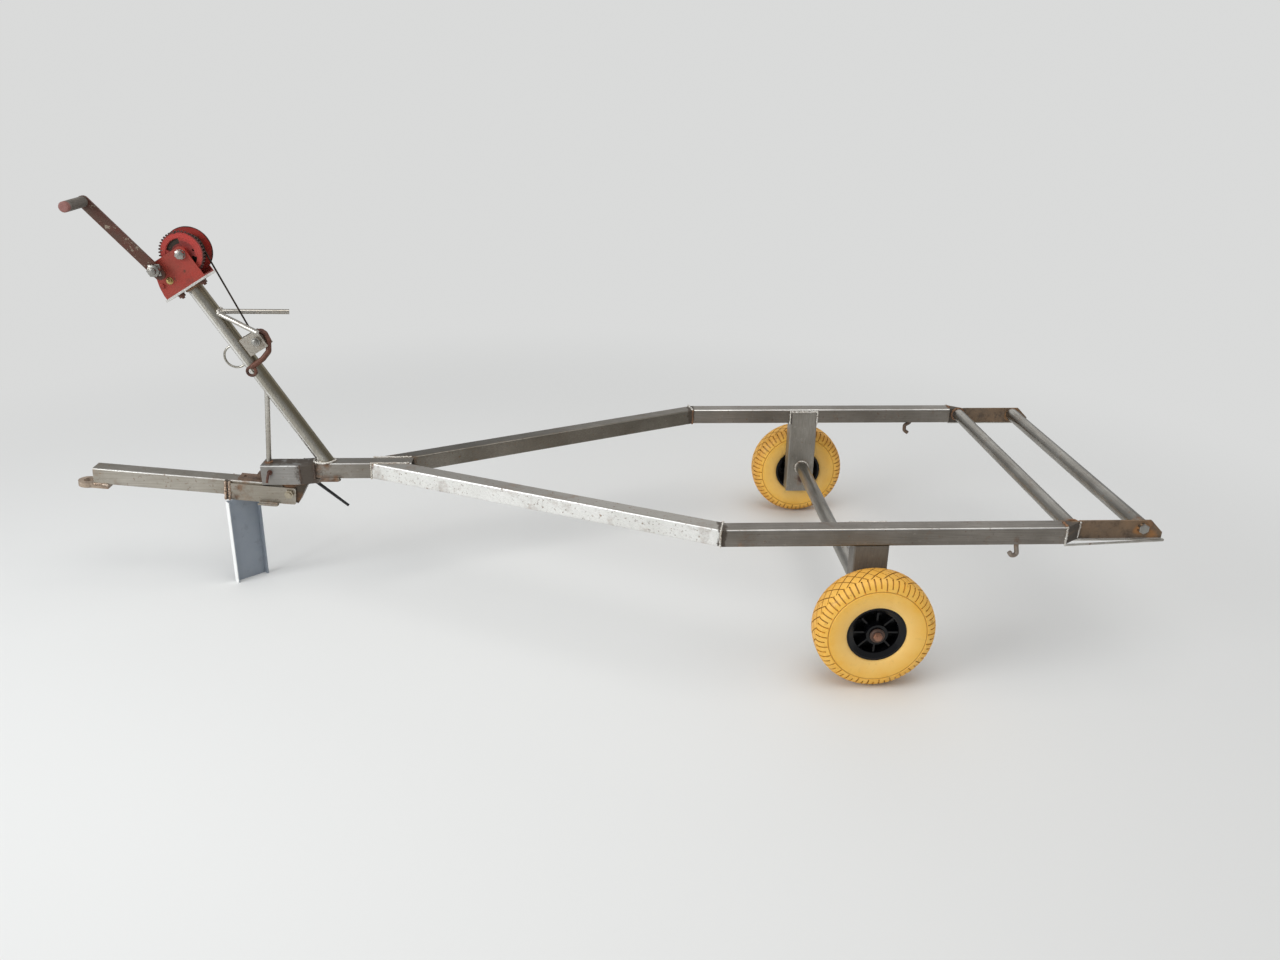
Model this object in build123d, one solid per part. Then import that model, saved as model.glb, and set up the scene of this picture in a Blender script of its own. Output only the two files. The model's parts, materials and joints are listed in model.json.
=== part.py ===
from build123d import *
import math
import os

# Boat trailer with two wheels, a tilting drawbar, a hand winch and a rear roller.
# Millimetres. +X points to the rear, +Z up, the left side is at -Y.
# Sizes are named first. X places of the frame are measured from the wheel axle.

# Ground and attitude
wheel_diameter = 260.0
frame_slope = 1.17
frame_top = 336.0

# Frame tubes
tube_size = 40.0
tube_wall = 2.5
tube_corner = 4.0
frame_width = 830.0
rail_rear_x = 409.0
rail_bend_x = -324.0
tongue_meet_x = -1132.5
tongue_lap = 97.5
tongue_reach = 133.5

# Saddle box that drops over the drawbar
saddle_width = 50.0
saddle_wall = 3.0
saddle_length = 93.5
saddle_throat = 35.0
saddle_top = 332.5
saddle_bottom = 283.5
throat_bottom = 285.0
throat_heel = 9.0

# Drawbar and its hinge, placed on the level floor
hinge_ahead = 69.0
hinge_z = 232.5
drawbar_slope = 4.55
drawbar_above_hinge = 21.4
drawbar_front = 463.5
drawbar_rear = 64.0
cheek_thickness = 5.0
cheek_below_tube_top = 6.7
cheek_height = 42.7
cheek_front = 149.5
cheek_rear = 15.0
cheek_corner = 5.0
hinge_bolt_radius = 6.0
running_clearance = 0.05
side_clearance = 0.5
lug_width = tube_size - 2 * side_clearance
lug_radius = 16.0

# Hitch eye
eye_radius = 22.5
eye_hole_radius = 10.5
eye_thickness = 12.0
eye_reach = 20.5
eye_shank_width = 38.0
eye_shank_under = 32.5

# Latch plate on the drawbar
latch_length = 62.0
latch_width = 34.0
latch_thickness = 5.0
latch_hole_radius = 5.0
latch_block_length = 18.0
latch_block_height = 17.0
latch_to_saddle = 0.5

# Prop leg, a channel that stands on the floor
leg_width = 80.0
leg_flange = 16.0
leg_thickness = 4.0
leg_turn = 43.5
leg_ahead = 111.0
leg_centre_y = -22.0

# Winch post and its brace
post_radius = 17.5
post_wall = 2.5
post_lean = 30.76
post_setback = 24.1
post_length = 494.0
brace_radius = 6.0
brace_ahead = 114.0
brace_height = 152.0
brace_shift = 15.0
post_ring_radius = 2.6
post_ring_low = 291.5
post_ring_height = 50.0
post_ring_reach = 30.5

# Winch mounting plate and frame
plate_length = 112.0
plate_width = 62.0
plate_thickness = 5.0
plate_offset = -5.6
winch_sheet = 3.0
winch_inside = 56.0
winch_length = 105.0
winch_height = 85.0
shaft_height = 69.0
drum_shaft_at = 33.3

# Winch gears, drum and crank
gear_module = 2.3
gear_teeth = 42
pinion_teeth = 12
gear_thickness = 5.0
gear_side_gap = 5.0
pinion_width = 11.0
tooth_backlash = 0.5
gear_window_outer = 33.5
gear_window_inner = 22.0
gear_window_starts = (64, 244)
gear_window_sweep = 73
gear_dish_radius = 35.0
gear_dish_depth = 1.5
gear_hub_radius = 12.5
gear_holes = {"tie": (26.6, -14, 2.5), "pin": (43.0, 140, 1.5)}
drum_radius = 19.0
flange_radius = 53.0
flange_thickness = 3.0
flange_side_gap = 5.0
coil_radius = 38.0
drum_bolt_radius = 6.0
crank_shaft_radius = 8.0
crank_gap = 12.0
crank_angle = 131.0
crank_reach = 194.0
crank_tail = 12.0
crank_width = 25.0
crank_thickness = 6.0
crank_nut = 24.0
crank_nut_height = 9.0
grip_radius = 11.5
grip_length = 88.0
grip_end_radius = 11.5

# Bow stop rods: side of the foot on the post, then reach to the rear, spread and drop
bow_rod_radius = 5.8
bow_rod_below_top = 77.0
bow_rods = {
    "left": (-10, 93.8, -35, 36.2),
    "right": (9.6, 142.3, 40.4, 10.2),
}

# Cable, hook and hook bracket on the post
cable_radius = 2.0
bracket_width = 40.0
bracket_sheet = 4.0
bracket_depth = 64.1
bracket_height = 44.0
bracket_corner = 11.5
bracket_down = 172.5
bracket_bolt_radius = 5.0
bracket_bolt_at = 49.1
hook_radius = 6.3
hook_rest_gap = 0.1
hook_eye_radius = 10.0
hook_eye_wire = 3.4

# Axle
leg_box_length = 75.0
leg_box_width = 46.0
leg_box_wall = 3.0
leg_box_x = -5.0
leg_box_bottom = 92.0
leg_box_lap = 34.0
axle_tube_radius = 17.5
axle_tube_x = -2.0
axle_tube_above_axle = 35.0
leg_box_inset = 6.0
stub_radius = 10.0
tyre_to_leg = 6.5

# Wheels
tyre_width = 85.0
tyre_crown_radius = 60.0
tyre_shoulder = 30.0
rim_radius = 63.5
rim_lip = 6.0
rim_width = 66.0
rim_well_radius = 48.5
hub_radius = 23.0
hub_length = 70.0
rib_count = 8
rib_thickness = 4.0
rim_web = 6.0
cap_radius = 15.5
cap_length = 6.0
wheel_side_gap = 1.0

# Rear end
rear_plate_thickness = 5.0
rear_plate_height = 41.0
rear_plate_bottom = 296.0
rear_plate_reach = 225.5
rear_neck = 41.0
rear_neck_root = 6.0
rear_plate_setback = 30.5
rear_plate_corner = 27.5
cross_tube_radius = 16.0
cross_tube_wall = 2.5
cross_tube_x = 434.5
cross_tube_z = 320.5
roller_radius = 16.8
roller_x = 588.5
roller_z = 320.5
roller_pin_radius = 6.0
roller_end_gap = 3.0
strap_rod_radius = 2.5
strap_loop_inset = 3.0
rail_hook_radius = 5.0
rail_hook_bend = 6.5

# Bends of the two rail hooks: from the axle, outward from the rail's middle, below the rail
rail_hooks = {
    "left": [(312, 3, 0), (312, 3, 9), (315, 6, 29.5), (303, 7, 31), (297.5, 7, 23)],
    "right": [(303, -5, 0), (303, -5, 4), (289, -5, 12), (289.5, -6, 27), (299.5, -7, 34)],
}

half_track = frame_width / 2
tube_bottom = frame_top - tube_size
axle_height = wheel_diameter / 2
axle_tube_z = axle_height + axle_tube_above_axle
tongue_rear_x = tongue_meet_x + tongue_lap
tongue_front_x = tongue_meet_x - tongue_reach
hinge_x = tongue_front_x - hinge_ahead
leg_centre_x = hinge_x - leg_ahead
post_foot_x = tongue_front_x + post_setback
brace_foot_x = tongue_front_x - brace_ahead
rear_end_x = rail_rear_x + rear_plate_reach
nodes = {}


def frame(shape):
    """Tips a piece of the level frame about the axle, nose down."""
    return shape.rotate(Axis((0, 0, axle_height), (0, 1, 0)), -frame_slope)


def hinged(shape):
    """Puts a piece of the drawbar, drawn about its hinge, in its place."""
    return Pos(hinge_x, 0, hinge_z) * shape.rotate(Axis.Y, drawbar_slope)


def box(x1, x2, y1, y2, z1, z2):
    return Pos((x1 + x2) / 2, (y1 + y2) / 2, (z1 + z2) / 2) * Box(
        abs(x2 - x1), abs(y2 - y1), abs(z2 - z1)
    )


def mirrored(shape):
    return mirror(shape, about=Plane.XZ)


def cross_bar(radius, x, z, y1, y2):
    """A round bar across the trailer."""
    middle = (y1 + y2) / 2
    return Pos(x, middle, z) * Rot(90, 0, 0) * Cylinder(radius, abs(y2 - y1))


def nut(across_flats, thickness):
    return extrude(RegularPolygon(across_flats / 2, 6, major_radius=False), thickness)


def bent_rod(points, radius, bend):
    path = FilletPolyline(*points, radius=bend)
    start = Plane(origin=path @ 0, z_dir=path % 0)
    return sweep(start * Circle(radius), path=path)


def square_tube(length):
    """A square tube along X from 0, its top at frame height."""
    outer = RectangleRounded(tube_size, tube_size, tube_corner)
    inner = RectangleRounded(
        tube_size - 2 * tube_wall, tube_size - 2 * tube_wall, tube_corner - tube_wall
    )
    section = Plane.YZ * (outer - inner)
    middle = frame_top - tube_size / 2
    return Pos(0, 0, middle) * extrude(section, length)


# Frame rails, each cut to its mitre
bend_angle = math.degrees(
    math.atan((half_track - tube_size / 2) / (rail_bend_x - tongue_meet_x))
)
half_bend = math.radians(bend_angle / 2)
mitre = Plane(
    origin=(rail_bend_x, -half_track, frame_top),
    z_dir=(math.cos(half_bend), -math.sin(half_bend), 0),
)
rail_centre_y = half_track - tube_size / 2
rail = Pos(rail_bend_x - tube_size, -rail_centre_y, 0) * square_tube(
    rail_rear_x - rail_bend_x + tube_size
)
rail = split(rail, bisect_by=mitre, keep=Keep.TOP)
angled_length = math.hypot(rail_bend_x - tongue_meet_x, half_track) + 2 * tube_size
angled = Pos(0, tube_size / 2, 0) * square_tube(angled_length)
angled = Rot(0, 0, 180 - bend_angle) * Pos(-tube_size, -tube_size, 0) * angled
angled = Pos(rail_bend_x, -half_track, 0) * angled
angled = split(angled, bisect_by=mitre, keep=Keep.BOTTOM)
beside_tongue = Plane(origin=(0, -tube_size / 2, 0), z_dir=(0, 1, 0))
angled = split(angled, bisect_by=beside_tongue, keep=Keep.BOTTOM)
nodes["rail_left"] = frame(rail)
nodes["rail_right"] = frame(mirrored(rail))
nodes["angled_rail_left"] = frame(angled)
nodes["angled_rail_right"] = frame(mirrored(angled))


def tie_loop(x1, x2, y, z):
    """A rod bent back on itself, its inner leg at y along a tube's lower edge."""
    return bent_rod([(x1, y, z), (x2, y, z), (x2, y - 12, z), (x1, y - 12, z)], 2.5, 5.9)


tongue = Pos(tongue_front_x, 0, 0) * square_tube(tongue_rear_x - tongue_front_x)
tongue_loop = tie_loop(tongue_front_x + 11, tongue_front_x + 58, 0.5 - tube_size / 2, tube_bottom - 0.5)
nodes["tongue"] = frame(tongue + tongue_loop)

# Saddle box, its throat and the lug that carries the hinge
throat_front = tongue_front_x - saddle_throat
saddle_front = throat_front - saddle_length
saddle = box(
    saddle_front, throat_front, -saddle_width / 2, saddle_width / 2, saddle_bottom, saddle_top
)
saddle = fillet(saddle.edges().filter_by(Axis.X).group_by(Axis.Z)[-1], saddle_wall)
saddle -= box(
    saddle_front - 1,
    throat_front + 1,
    -saddle_width / 2 + saddle_wall,
    saddle_width / 2 - saddle_wall,
    saddle_bottom - 1,
    saddle_top - saddle_wall,
)
front_section = Pos(throat_front, 0, (saddle_bottom + saddle_top) / 2) * (
    Plane.YZ * Rectangle(saddle_width, saddle_top - saddle_bottom)
)
rear_section = Pos(tongue_front_x, 0, (frame_top + throat_bottom) / 2) * (
    Plane.YZ * Rectangle(tube_size, frame_top - throat_bottom)
)
throat = loft([front_section, rear_section], ruled=True)
throat += box(
    tongue_front_x - 1,
    tongue_front_x + throat_heel,
    -tube_size / 2,
    tube_size / 2,
    throat_bottom,
    tube_bottom,
)
nodes["saddle_box"] = frame(saddle + throat)

slope = math.radians(frame_slope)
hinge_level_x = hinge_x * math.cos(slope) + (hinge_z - axle_height) * math.sin(slope)
hinge_level_z = (
    axle_height - hinge_x * math.sin(slope) + (hinge_z - axle_height) * math.cos(slope)
)
lug_top_front = hinge_level_x - lug_radius
lug_top_rear = throat_front + 14
lug_face = make_hull(
    [
        *(Pos(hinge_level_x, hinge_level_z) * Circle(lug_radius)).edges(),
        *Polyline(
            (lug_top_front, saddle_bottom),
            (lug_top_rear, saddle_bottom),
            (hinge_level_x + 17, hinge_level_z - 28),
        ).edges(),
    ]
)
lug = extrude(Plane.XZ * lug_face, lug_width / 2, both=True)
lug -= cross_bar(hinge_bolt_radius, hinge_level_x, hinge_level_z, -60, 60)
lug -= throat
web = box(
    lug_top_front,
    throat_front,
    -saddle_width / 2 + saddle_wall,
    saddle_width / 2 - saddle_wall,
    saddle_bottom,
    saddle_bottom + saddle_wall,
)
lug += web
nodes["hinge_lug"] = frame(lug)

# Drawbar, about its hinge: X along it, Z square to it
bar_top = drawbar_above_hinge
bar = Pos(-drawbar_front, 0, bar_top - frame_top) * square_tube(drawbar_front - drawbar_rear)
nodes["drawbar_tube"] = hinged(bar)

cheek_top = bar_top - cheek_below_tube_top
cheek = box(
    -cheek_front,
    cheek_rear,
    -tube_size / 2 - cheek_thickness,
    -tube_size / 2,
    cheek_top - cheek_height,
    cheek_top,
)
cheek = fillet(cheek.edges().filter_by(Axis.Y).group_by(Axis.X)[-1], cheek_corner)
cheek -= cross_bar(hinge_bolt_radius + running_clearance, 0, 0, -60, 60)
drawbar_loop = tie_loop(-72, -26, -tube_size / 2 - cheek_thickness - 1, cheek_top - cheek_height - 0.5)
nodes["drawbar_cheek_left"] = hinged(cheek + drawbar_loop)
nodes["drawbar_cheek_right"] = hinged(mirrored(cheek))

bolt_half = tube_size / 2 + cheek_thickness + 0.4
hinge_bolt = cross_bar(hinge_bolt_radius, 0, 0, -bolt_half - 10, bolt_half + 10)
head = Pos(0, -bolt_half, 0) * Rot(90, 0, 0) * nut(19, 7)
hinge_bolt += head
hinge_bolt += mirrored(head)
nodes["hinge_bolt"] = hinged(hinge_bolt)

eye_z = bar_top - tube_size - eye_thickness / 2
eye_x = -drawbar_front - eye_reach
eye = Pos(eye_x, 0, eye_z) * Cylinder(eye_radius, eye_thickness)
eye += box(
    eye_x,
    -drawbar_front + eye_shank_under,
    -eye_shank_width / 2,
    eye_shank_width / 2,
    eye_z - eye_thickness / 2,
    eye_z + eye_thickness / 2,
)
eye -= Pos(eye_x, 0, eye_z) * Cylinder(eye_hole_radius, 2 * eye_thickness)
nodes["hitch_eye"] = hinged(eye)

latch_rear = saddle_front - hinge_level_x - latch_to_saddle
latch_front = latch_rear - latch_length
latch_half = latch_width / 2
latch_top = bar_top + latch_thickness
latch = box(latch_front, latch_rear, -latch_half, latch_half, bar_top, latch_top)
latch -= Pos(latch_front + 14, 0, bar_top) * Cylinder(latch_hole_radius, 4 * latch_thickness)
latch += box(
    latch_rear - latch_block_length,
    latch_rear,
    -latch_half + 5,
    latch_half - 5,
    bar_top,
    bar_top + latch_block_height,
)
nodes["latch_plate"] = hinged(latch)

# Prop leg, cut at the floor and under the drawbar's cheeks
cheek_underside = cheek_top - cheek_height
channel = Rectangle(leg_width, leg_flange) - Pos(0, leg_thickness) * Rectangle(
    leg_width - 2 * leg_thickness, leg_flange
)
leg = Rot(0, 0, leg_turn) * Rot(0, 0, 180) * Pos(0, -leg_flange / 2) * extrude(channel, frame_top)
leg = Pos(leg_centre_x, leg_centre_y, 0) * leg
under_bar = Plane(
    origin=(
        hinge_x + cheek_underside * math.sin(math.radians(drawbar_slope)),
        0,
        hinge_z + cheek_underside * math.cos(math.radians(drawbar_slope)),
    ),
    z_dir=(math.sin(math.radians(drawbar_slope)), 0, math.cos(math.radians(drawbar_slope))),
)
leg = split(leg, bisect_by=under_bar, keep=Keep.BOTTOM)
nodes["prop_leg"] = leg

# Winch post
lean = math.radians(post_lean)
post_plane = Plane(
    origin=(post_foot_x, 0, frame_top),
    x_dir=(math.cos(lean), 0, math.sin(lean)),
    z_dir=(-math.sin(lean), 0, math.cos(lean)),
)


def on_post(shape):
    """Places a piece drawn on the post: Z up the post from its foot, X to the rear."""
    return post_plane.location * shape


def on_winch(shape):
    return on_post(Pos(0, 0, post_length) * shape)


post_solid = on_post(Pos(0, 0, (post_length - 60) / 2) * Cylinder(post_radius, post_length + 60))
tongue_top = Plane(origin=(0, 0, frame_top), z_dir=(0, 0, 1))
post = on_post(
    Pos(0, 0, (post_length - 60) / 2) * Cylinder(post_radius, post_length + 60)
    - Pos(0, 0, (post_length - 60) / 2) * Cylinder(post_radius - post_wall, post_length + 61)
)
post = split(post, bisect_by=tongue_top, keep=Keep.TOP)

brace = Pos(brace_foot_x, 0, saddle_top) * extrude(
    Plane.XY * Circle(brace_radius), 2 * brace_height, dir=(brace_shift, 0, brace_height)
)
brace -= post_solid
brace = brace.solids().sort_by(Axis.Z)[0]
nodes["post_brace"] = frame(brace)

ring_low = post_ring_low
ring_path = ThreePointArc(
    (-post_radius + 3, 0, ring_low),
    (-post_radius - post_ring_reach, 0, ring_low + post_ring_height * 0.55),
    (-post_radius + 3, 0, ring_low + post_ring_height),
)
ring = sweep(
    Plane(origin=ring_path @ 0, z_dir=ring_path % 0) * Circle(post_ring_radius), path=ring_path
)
ring -= Pos(0, 0, post_length / 2) * Cylinder(post_radius, post_length)
ring = ring.solids().sort_by(SortBy.VOLUME)[-1]
nodes["winch_post"] = frame(post + on_post(ring))

# Winch frame on its plate
plate_x = plate_offset - plate_length / 2
plate = box(
    plate_x, plate_x + plate_length, -plate_width / 2, plate_width / 2, 0, plate_thickness
)
nodes["winch_plate"] = frame(on_winch(plate))

crank_at = drum_shaft_at - gear_module * (gear_teeth + pinion_teeth) / 2
inner = winch_inside / 2
outer = inner + winch_sheet
base_z = plate_thickness
frame_x1 = plate_x + 5
frame_x2 = frame_x1 + winch_length
cheek_points = [
    (frame_x1, base_z),
    (frame_x2, base_z),
    (frame_x2, winch_height - 8),
    (frame_x2 - 8, winch_height),
    (crank_at - 4, winch_height),
    (crank_at - 14.5, winch_height - 11),
    (crank_at - 15, winch_height - 25),
    (frame_x1 + 4, winch_height - 50),
    (frame_x1, base_z + 9),
]
side_face = make_face(Polyline(*cheek_points, close=True))
side_plate = extrude(Plane.XZ * side_face, winch_sheet)
winch_frame = Pos(0, -inner, 0) * side_plate
winch_frame += Pos(0, outer, 0) * side_plate
winch_frame += box(frame_x1, frame_x2, -outer, outer, base_z, base_z + winch_sheet)
winch_frame -= cross_bar(
    crank_shaft_radius + running_clearance, crank_at, shaft_height, -outer - 5, outer + 5
)
winch_frame -= cross_bar(drum_bolt_radius, drum_shaft_at, shaft_height, -outer - 5, outer + 5)

drum_bolt = cross_bar(drum_bolt_radius, drum_shaft_at, shaft_height, -outer - 8, outer + 11)
bolt_head = Pos(drum_shaft_at, -outer, shaft_height) * Rot(90, 0, 0) * nut(18, 7)
drum_bolt += bolt_head
drum_bolt += mirrored(bolt_head)
nodes["winch_frame"] = frame(on_winch(winch_frame + drum_bolt))


def tooth_outline(teeth, tip_share, root_share, turn):
    """An involute spur outline, its flanks as short straight runs."""
    pitch = gear_module * teeth / 2
    base = pitch * math.cos(math.radians(20))
    tip = pitch + tip_share * gear_module
    root = pitch - root_share * gear_module
    half = math.pi / (2 * teeth) - tooth_backlash / (4 * pitch)

    def polar(radius):
        if radius <= base:
            return 0.0
        press = math.acos(base / radius)
        return math.tan(press) - press

    at_pitch = polar(pitch)
    low = max(root, base)
    radii = [root] + [low + (tip - low) * i / 4 for i in range(0 if low > root else 1, 5)]
    points = []
    for tooth in range(teeth):
        middle = math.radians(turn) + 2 * math.pi * tooth / teeth
        for radius in radii:
            angle = middle - half - at_pitch + polar(radius)
            points.append((radius * math.cos(angle), radius * math.sin(angle)))
        for radius in reversed(radii):
            angle = middle + half + at_pitch - polar(radius)
            points.append((radius * math.cos(angle), radius * math.sin(angle)))
    return make_face(Polyline(*points, close=True))


# Gear, drum and rope coil turn together on the drum bolt
gear_y = -inner + gear_side_gap
gear_face = tooth_outline(gear_teeth, 0.8, 1.1, 0)
for start in gear_window_starts:
    rays = [
        (60 * math.cos(math.radians(turn)), -60 * math.sin(math.radians(turn)))
        for turn in (start, start + gear_window_sweep)
    ]
    wedge = make_face(Polyline((0, 0), *rays, close=True))
    window = (Circle(gear_window_outer) - Circle(gear_window_inner)) & wedge
    gear_face -= fillet(window.vertices(), 2)
for radius, turn, hole_radius in gear_holes.values():
    gear_face -= Rot(0, 0, -turn) * Pos(radius, 0) * Circle(hole_radius)
gear_face -= Circle(drum_bolt_radius + running_clearance)
gear = extrude(gear_face, gear_thickness)
gear -= extrude(Circle(gear_dish_radius) - Circle(gear_hub_radius), gear_dish_depth)
gear = Pos(drum_shaft_at, gear_y, shaft_height) * Rot(-90, 0, 0) * gear
nodes["winch_gear"] = frame(on_winch(gear))

drum_y1 = gear_y + gear_thickness
drum_y2 = inner - flange_side_gap
drum = cross_bar(drum_radius, drum_shaft_at, shaft_height, drum_y1, drum_y2 - flange_thickness)
drum += cross_bar(
    flange_radius, drum_shaft_at, shaft_height, drum_y2 - flange_thickness, drum_y2
)
drum -= cross_bar(
    drum_bolt_radius + running_clearance, drum_shaft_at, shaft_height, -inner, inner
)
nodes["winch_drum"] = frame(on_winch(drum))
coil = cross_bar(coil_radius, drum_shaft_at, shaft_height, drum_y1, drum_y2 - flange_thickness)
coil -= cross_bar(drum_radius, drum_shaft_at, shaft_height, -inner, inner)
nodes["cable_coil"] = frame(on_winch(coil))

# Crank shaft with its pinion, arm and grip
arm_y = -outer - crank_gap
shaft_end = -(outer + crank_gap + crank_thickness + crank_nut_height + 3)
crank_shaft = cross_bar(crank_shaft_radius, crank_at, shaft_height, shaft_end, outer + 6)
half_tooth = 180 / pinion_teeth
pinion = Pos(crank_at, gear_y - 1, shaft_height) * Rot(-90, 0, 0) * extrude(
    tooth_outline(pinion_teeth, 0.8, 1.1, 0), pinion_width
)
pinion = pinion.rotate(Axis((crank_at, 0, shaft_height), (0, 1, 0)), half_tooth)
crank_shaft += pinion
crank_shaft += cross_bar(
    crank_shaft_radius + 4, crank_at, shaft_height, outer + 0.4, outer + 6
)
crank_shaft += cross_bar(
    crank_shaft_radius + 3, crank_at, shaft_height, arm_y, -outer - 0.4
)
crank_shaft += (
    Pos(crank_at, arm_y - crank_thickness, shaft_height)
    * Rot(90, 0, 0)
    * nut(crank_nut, crank_nut_height)
)
nodes["crank_shaft"] = frame(on_winch(crank_shaft))

arm = Pos((crank_reach - crank_tail) / 2, 0) * SlotCenterToCenter(
    crank_reach + crank_tail, crank_width
)
arm -= Circle(crank_shaft_radius)
arm -= Pos(crank_reach, 0) * Circle(6)
arm = extrude(Plane.XZ * arm, crank_thickness)
crank_line = Axis((0, 0, 0), (0, 1, 0))
arm = Pos(crank_at, arm_y, shaft_height) * arm.rotate(crank_line, post_lean - crank_angle)
nodes["crank_arm"] = frame(on_winch(arm))

arm_angle = math.radians(crank_angle - post_lean)
grip_x = crank_at + crank_reach * math.cos(arm_angle)
grip_z = shaft_height + crank_reach * math.sin(arm_angle)
grip_y = arm_y - crank_thickness
grip = cross_bar(grip_radius, grip_x, grip_z, grip_y - grip_length, grip_y)
grip += cross_bar(6, grip_x, grip_z, grip_y, arm_y + 2)
nodes["crank_grip"] = frame(on_winch(grip))

# Bow stop: two rods splayed from the post
for side, (foot_y, reach, spread, drop) in bow_rods.items():
    foot = post_plane.from_local_coords(
        Vector(post_radius - 6, foot_y, post_length - bow_rod_below_top)
    )
    run_out = Vector(reach, spread, -drop)
    rod = extrude(Plane(origin=foot, z_dir=run_out) * Circle(bow_rod_radius), run_out.length)
    rod -= post_solid
    nodes["bow_rod_" + side] = frame(rod.solids().sort_by(SortBy.VOLUME)[-1])

# Hook bracket on the back of the post
bracket_z = post_length - bracket_down
half_high = bracket_height / 2
bracket_face = make_face(
    Polyline(
        (post_radius - 2, -half_high),
        (bracket_depth, -half_high),
        (bracket_depth, half_high - bracket_corner),
        (bracket_depth - bracket_corner, half_high),
        (post_radius - 2, half_high),
        close=True,
    )
)
bracket = extrude(Plane.XZ * bracket_face, bracket_width / 2, both=True)
bracket = Pos(0, 0, bracket_z) * bracket
bracket -= Pos(0, 0, bracket_z) * box(
    post_radius + bracket_sheet,
    bracket_depth + 1,
    -bracket_width / 2 + bracket_sheet,
    bracket_width / 2 - bracket_sheet,
    -half_high - 1,
    half_high + 1,
)
bracket -= Pos(0, 0, bracket_z) * Cylinder(post_radius, 2 * bracket_height)
bracket_half = bracket_width / 2
bracket += cross_bar(
    bracket_bolt_radius, bracket_bolt_at, bracket_z, -bracket_half - 7, bracket_half + 7
)
bracket_nut = Pos(bracket_bolt_at, -bracket_half, bracket_z) * Rot(90, 0, 0) * nut(17, 6)
bracket += bracket_nut
bracket += mirrored(bracket_nut)
nodes["hook_bracket"] = frame(on_post(bracket))

# Hook parked over the bracket's bolt. Its bends: back from the post, to the side,
# above the bracket's middle
hook_rest = bracket_bolt_radius + hook_radius + hook_rest_gap
hook_back = bracket_bolt_at + 20.5
hook_side = bracket_width / 2 + 6
hook_under = -half_high - 20
hook_bends = [
    (bracket_bolt_at - 8, 0, hook_rest),
    (bracket_bolt_at + 15, 0, hook_rest + 3.5),
    (hook_back, -2, 4),
    (hook_back - 1.5, -6, -12),
    (hook_back - 14.5, -13, hook_under + 9),
    (hook_back - 34.5, -19, hook_under + 2),
    (hook_back - 64.5, -hook_side, hook_under),
]
hook_points = [(back, side, bracket_z + up) for back, side, up in hook_bends]
hook = bent_rod(hook_points, hook_radius, 7.5)
hook_eye = Rot(90, 0, 0) * Torus(hook_eye_radius, hook_eye_wire)
hook_eye = Pos(hook_back - 71.5, -hook_side - 1, bracket_z + hook_under - 8) * hook_eye
nodes["winch_hook"] = frame(on_post(hook + hook_eye))

# Cable from the coil down to the hook
cable_end = Vector(bracket_bolt_at - 5, 0, bracket_z + hook_rest + hook_radius - 2)
coil_centre = Vector(drum_shaft_at, 0, post_length + shaft_height)
to_coil = coil_centre - cable_end
touch = coil_radius + cable_radius + 0.3
bearing = math.atan2(to_coil.Z, to_coil.X) - math.asin(touch / to_coil.length)
run = math.sqrt(to_coil.length**2 - touch**2)
cable_plane = Plane(origin=cable_end, z_dir=(math.cos(bearing), 0, math.sin(bearing)))
cable = extrude(cable_plane * Circle(cable_radius), run)
cable -= hook
cable = cable.solids().sort_by(SortBy.VOLUME)[-1]
nodes["winch_cable"] = frame(on_post(cable))

# Small fittings on the saddle box and tongue
pin_x = saddle_front + 21.5
pin_z = saddle_bottom + 32
lock_pin = cross_bar(6, pin_x, pin_z, -saddle_width / 2 - 3, -saddle_width / 2)
lock_pin += bent_rod(
    [
        (pin_x, -saddle_width / 2 - 2, pin_z),
        (pin_x, -saddle_width / 2 - 14, pin_z + 2),
        (pin_x - 5, -saddle_width / 2 - 16, pin_z - 20),
    ],
    3.0,
    5.0,
)
nodes["lock_pin"] = frame(lock_pin)

lever_top = (tongue_front_x - 14, 0, tube_bottom - 8)
lever_low = (tongue_front_x + 66, 0, tube_bottom - 79)
lever_axis = Vector(*lever_low) - Vector(*lever_top)
lever_plane = Plane(origin=lever_top, z_dir=lever_axis)
lever = loft([lever_plane * Circle(4.3), Plane(origin=lever_low, z_dir=lever_axis) * Circle(3.3)])
lever -= throat
lever = lever.solids().sort_by(SortBy.VOLUME)[-1]
nodes["release_lever"] = frame(lever)

# Axle legs, cross tube and stub axles
leg_y2 = half_track - tube_size
leg_y1 = leg_y2 - leg_box_inset
leg_box_outer = leg_y1 + leg_box_width
wheel_centre_y = leg_box_outer + tyre_to_leg + tyre_width / 2
box_top = tube_bottom
leg_box = box(
    leg_box_x - leg_box_length / 2,
    leg_box_x + leg_box_length / 2,
    -leg_box_outer,
    -leg_y1,
    leg_box_bottom,
    box_top,
)
leg_box = fillet(leg_box.edges().filter_by(Axis.Z), 4)
leg_box -= box(
    leg_box_x - leg_box_length / 2 + leg_box_wall,
    leg_box_x + leg_box_length / 2 - leg_box_wall,
    -leg_box_outer + leg_box_wall,
    -leg_y1 - leg_box_wall,
    leg_box_bottom - 1,
    box_top + 1,
)
leg_box += box(
    leg_box_x - leg_box_length / 2 + 4,
    leg_box_x + leg_box_length / 2 - 4,
    -leg_y2,
    -leg_y1,
    box_top,
    box_top + leg_box_lap,
)
leg_box -= cross_bar(
    stub_radius, 0, axle_height, -leg_box_outer - 1, -leg_y1 + 1
)
nodes["axle_leg_left"] = frame(leg_box)
nodes["axle_leg_right"] = frame(mirrored(leg_box))

axle_tube = cross_bar(axle_tube_radius, axle_tube_x, axle_tube_z, -leg_y1, leg_y1)
axle_tube -= cross_bar(axle_tube_radius - 3, axle_tube_x, axle_tube_z, -leg_y1, leg_y1)
nodes["axle_tube"] = frame(axle_tube)

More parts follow.
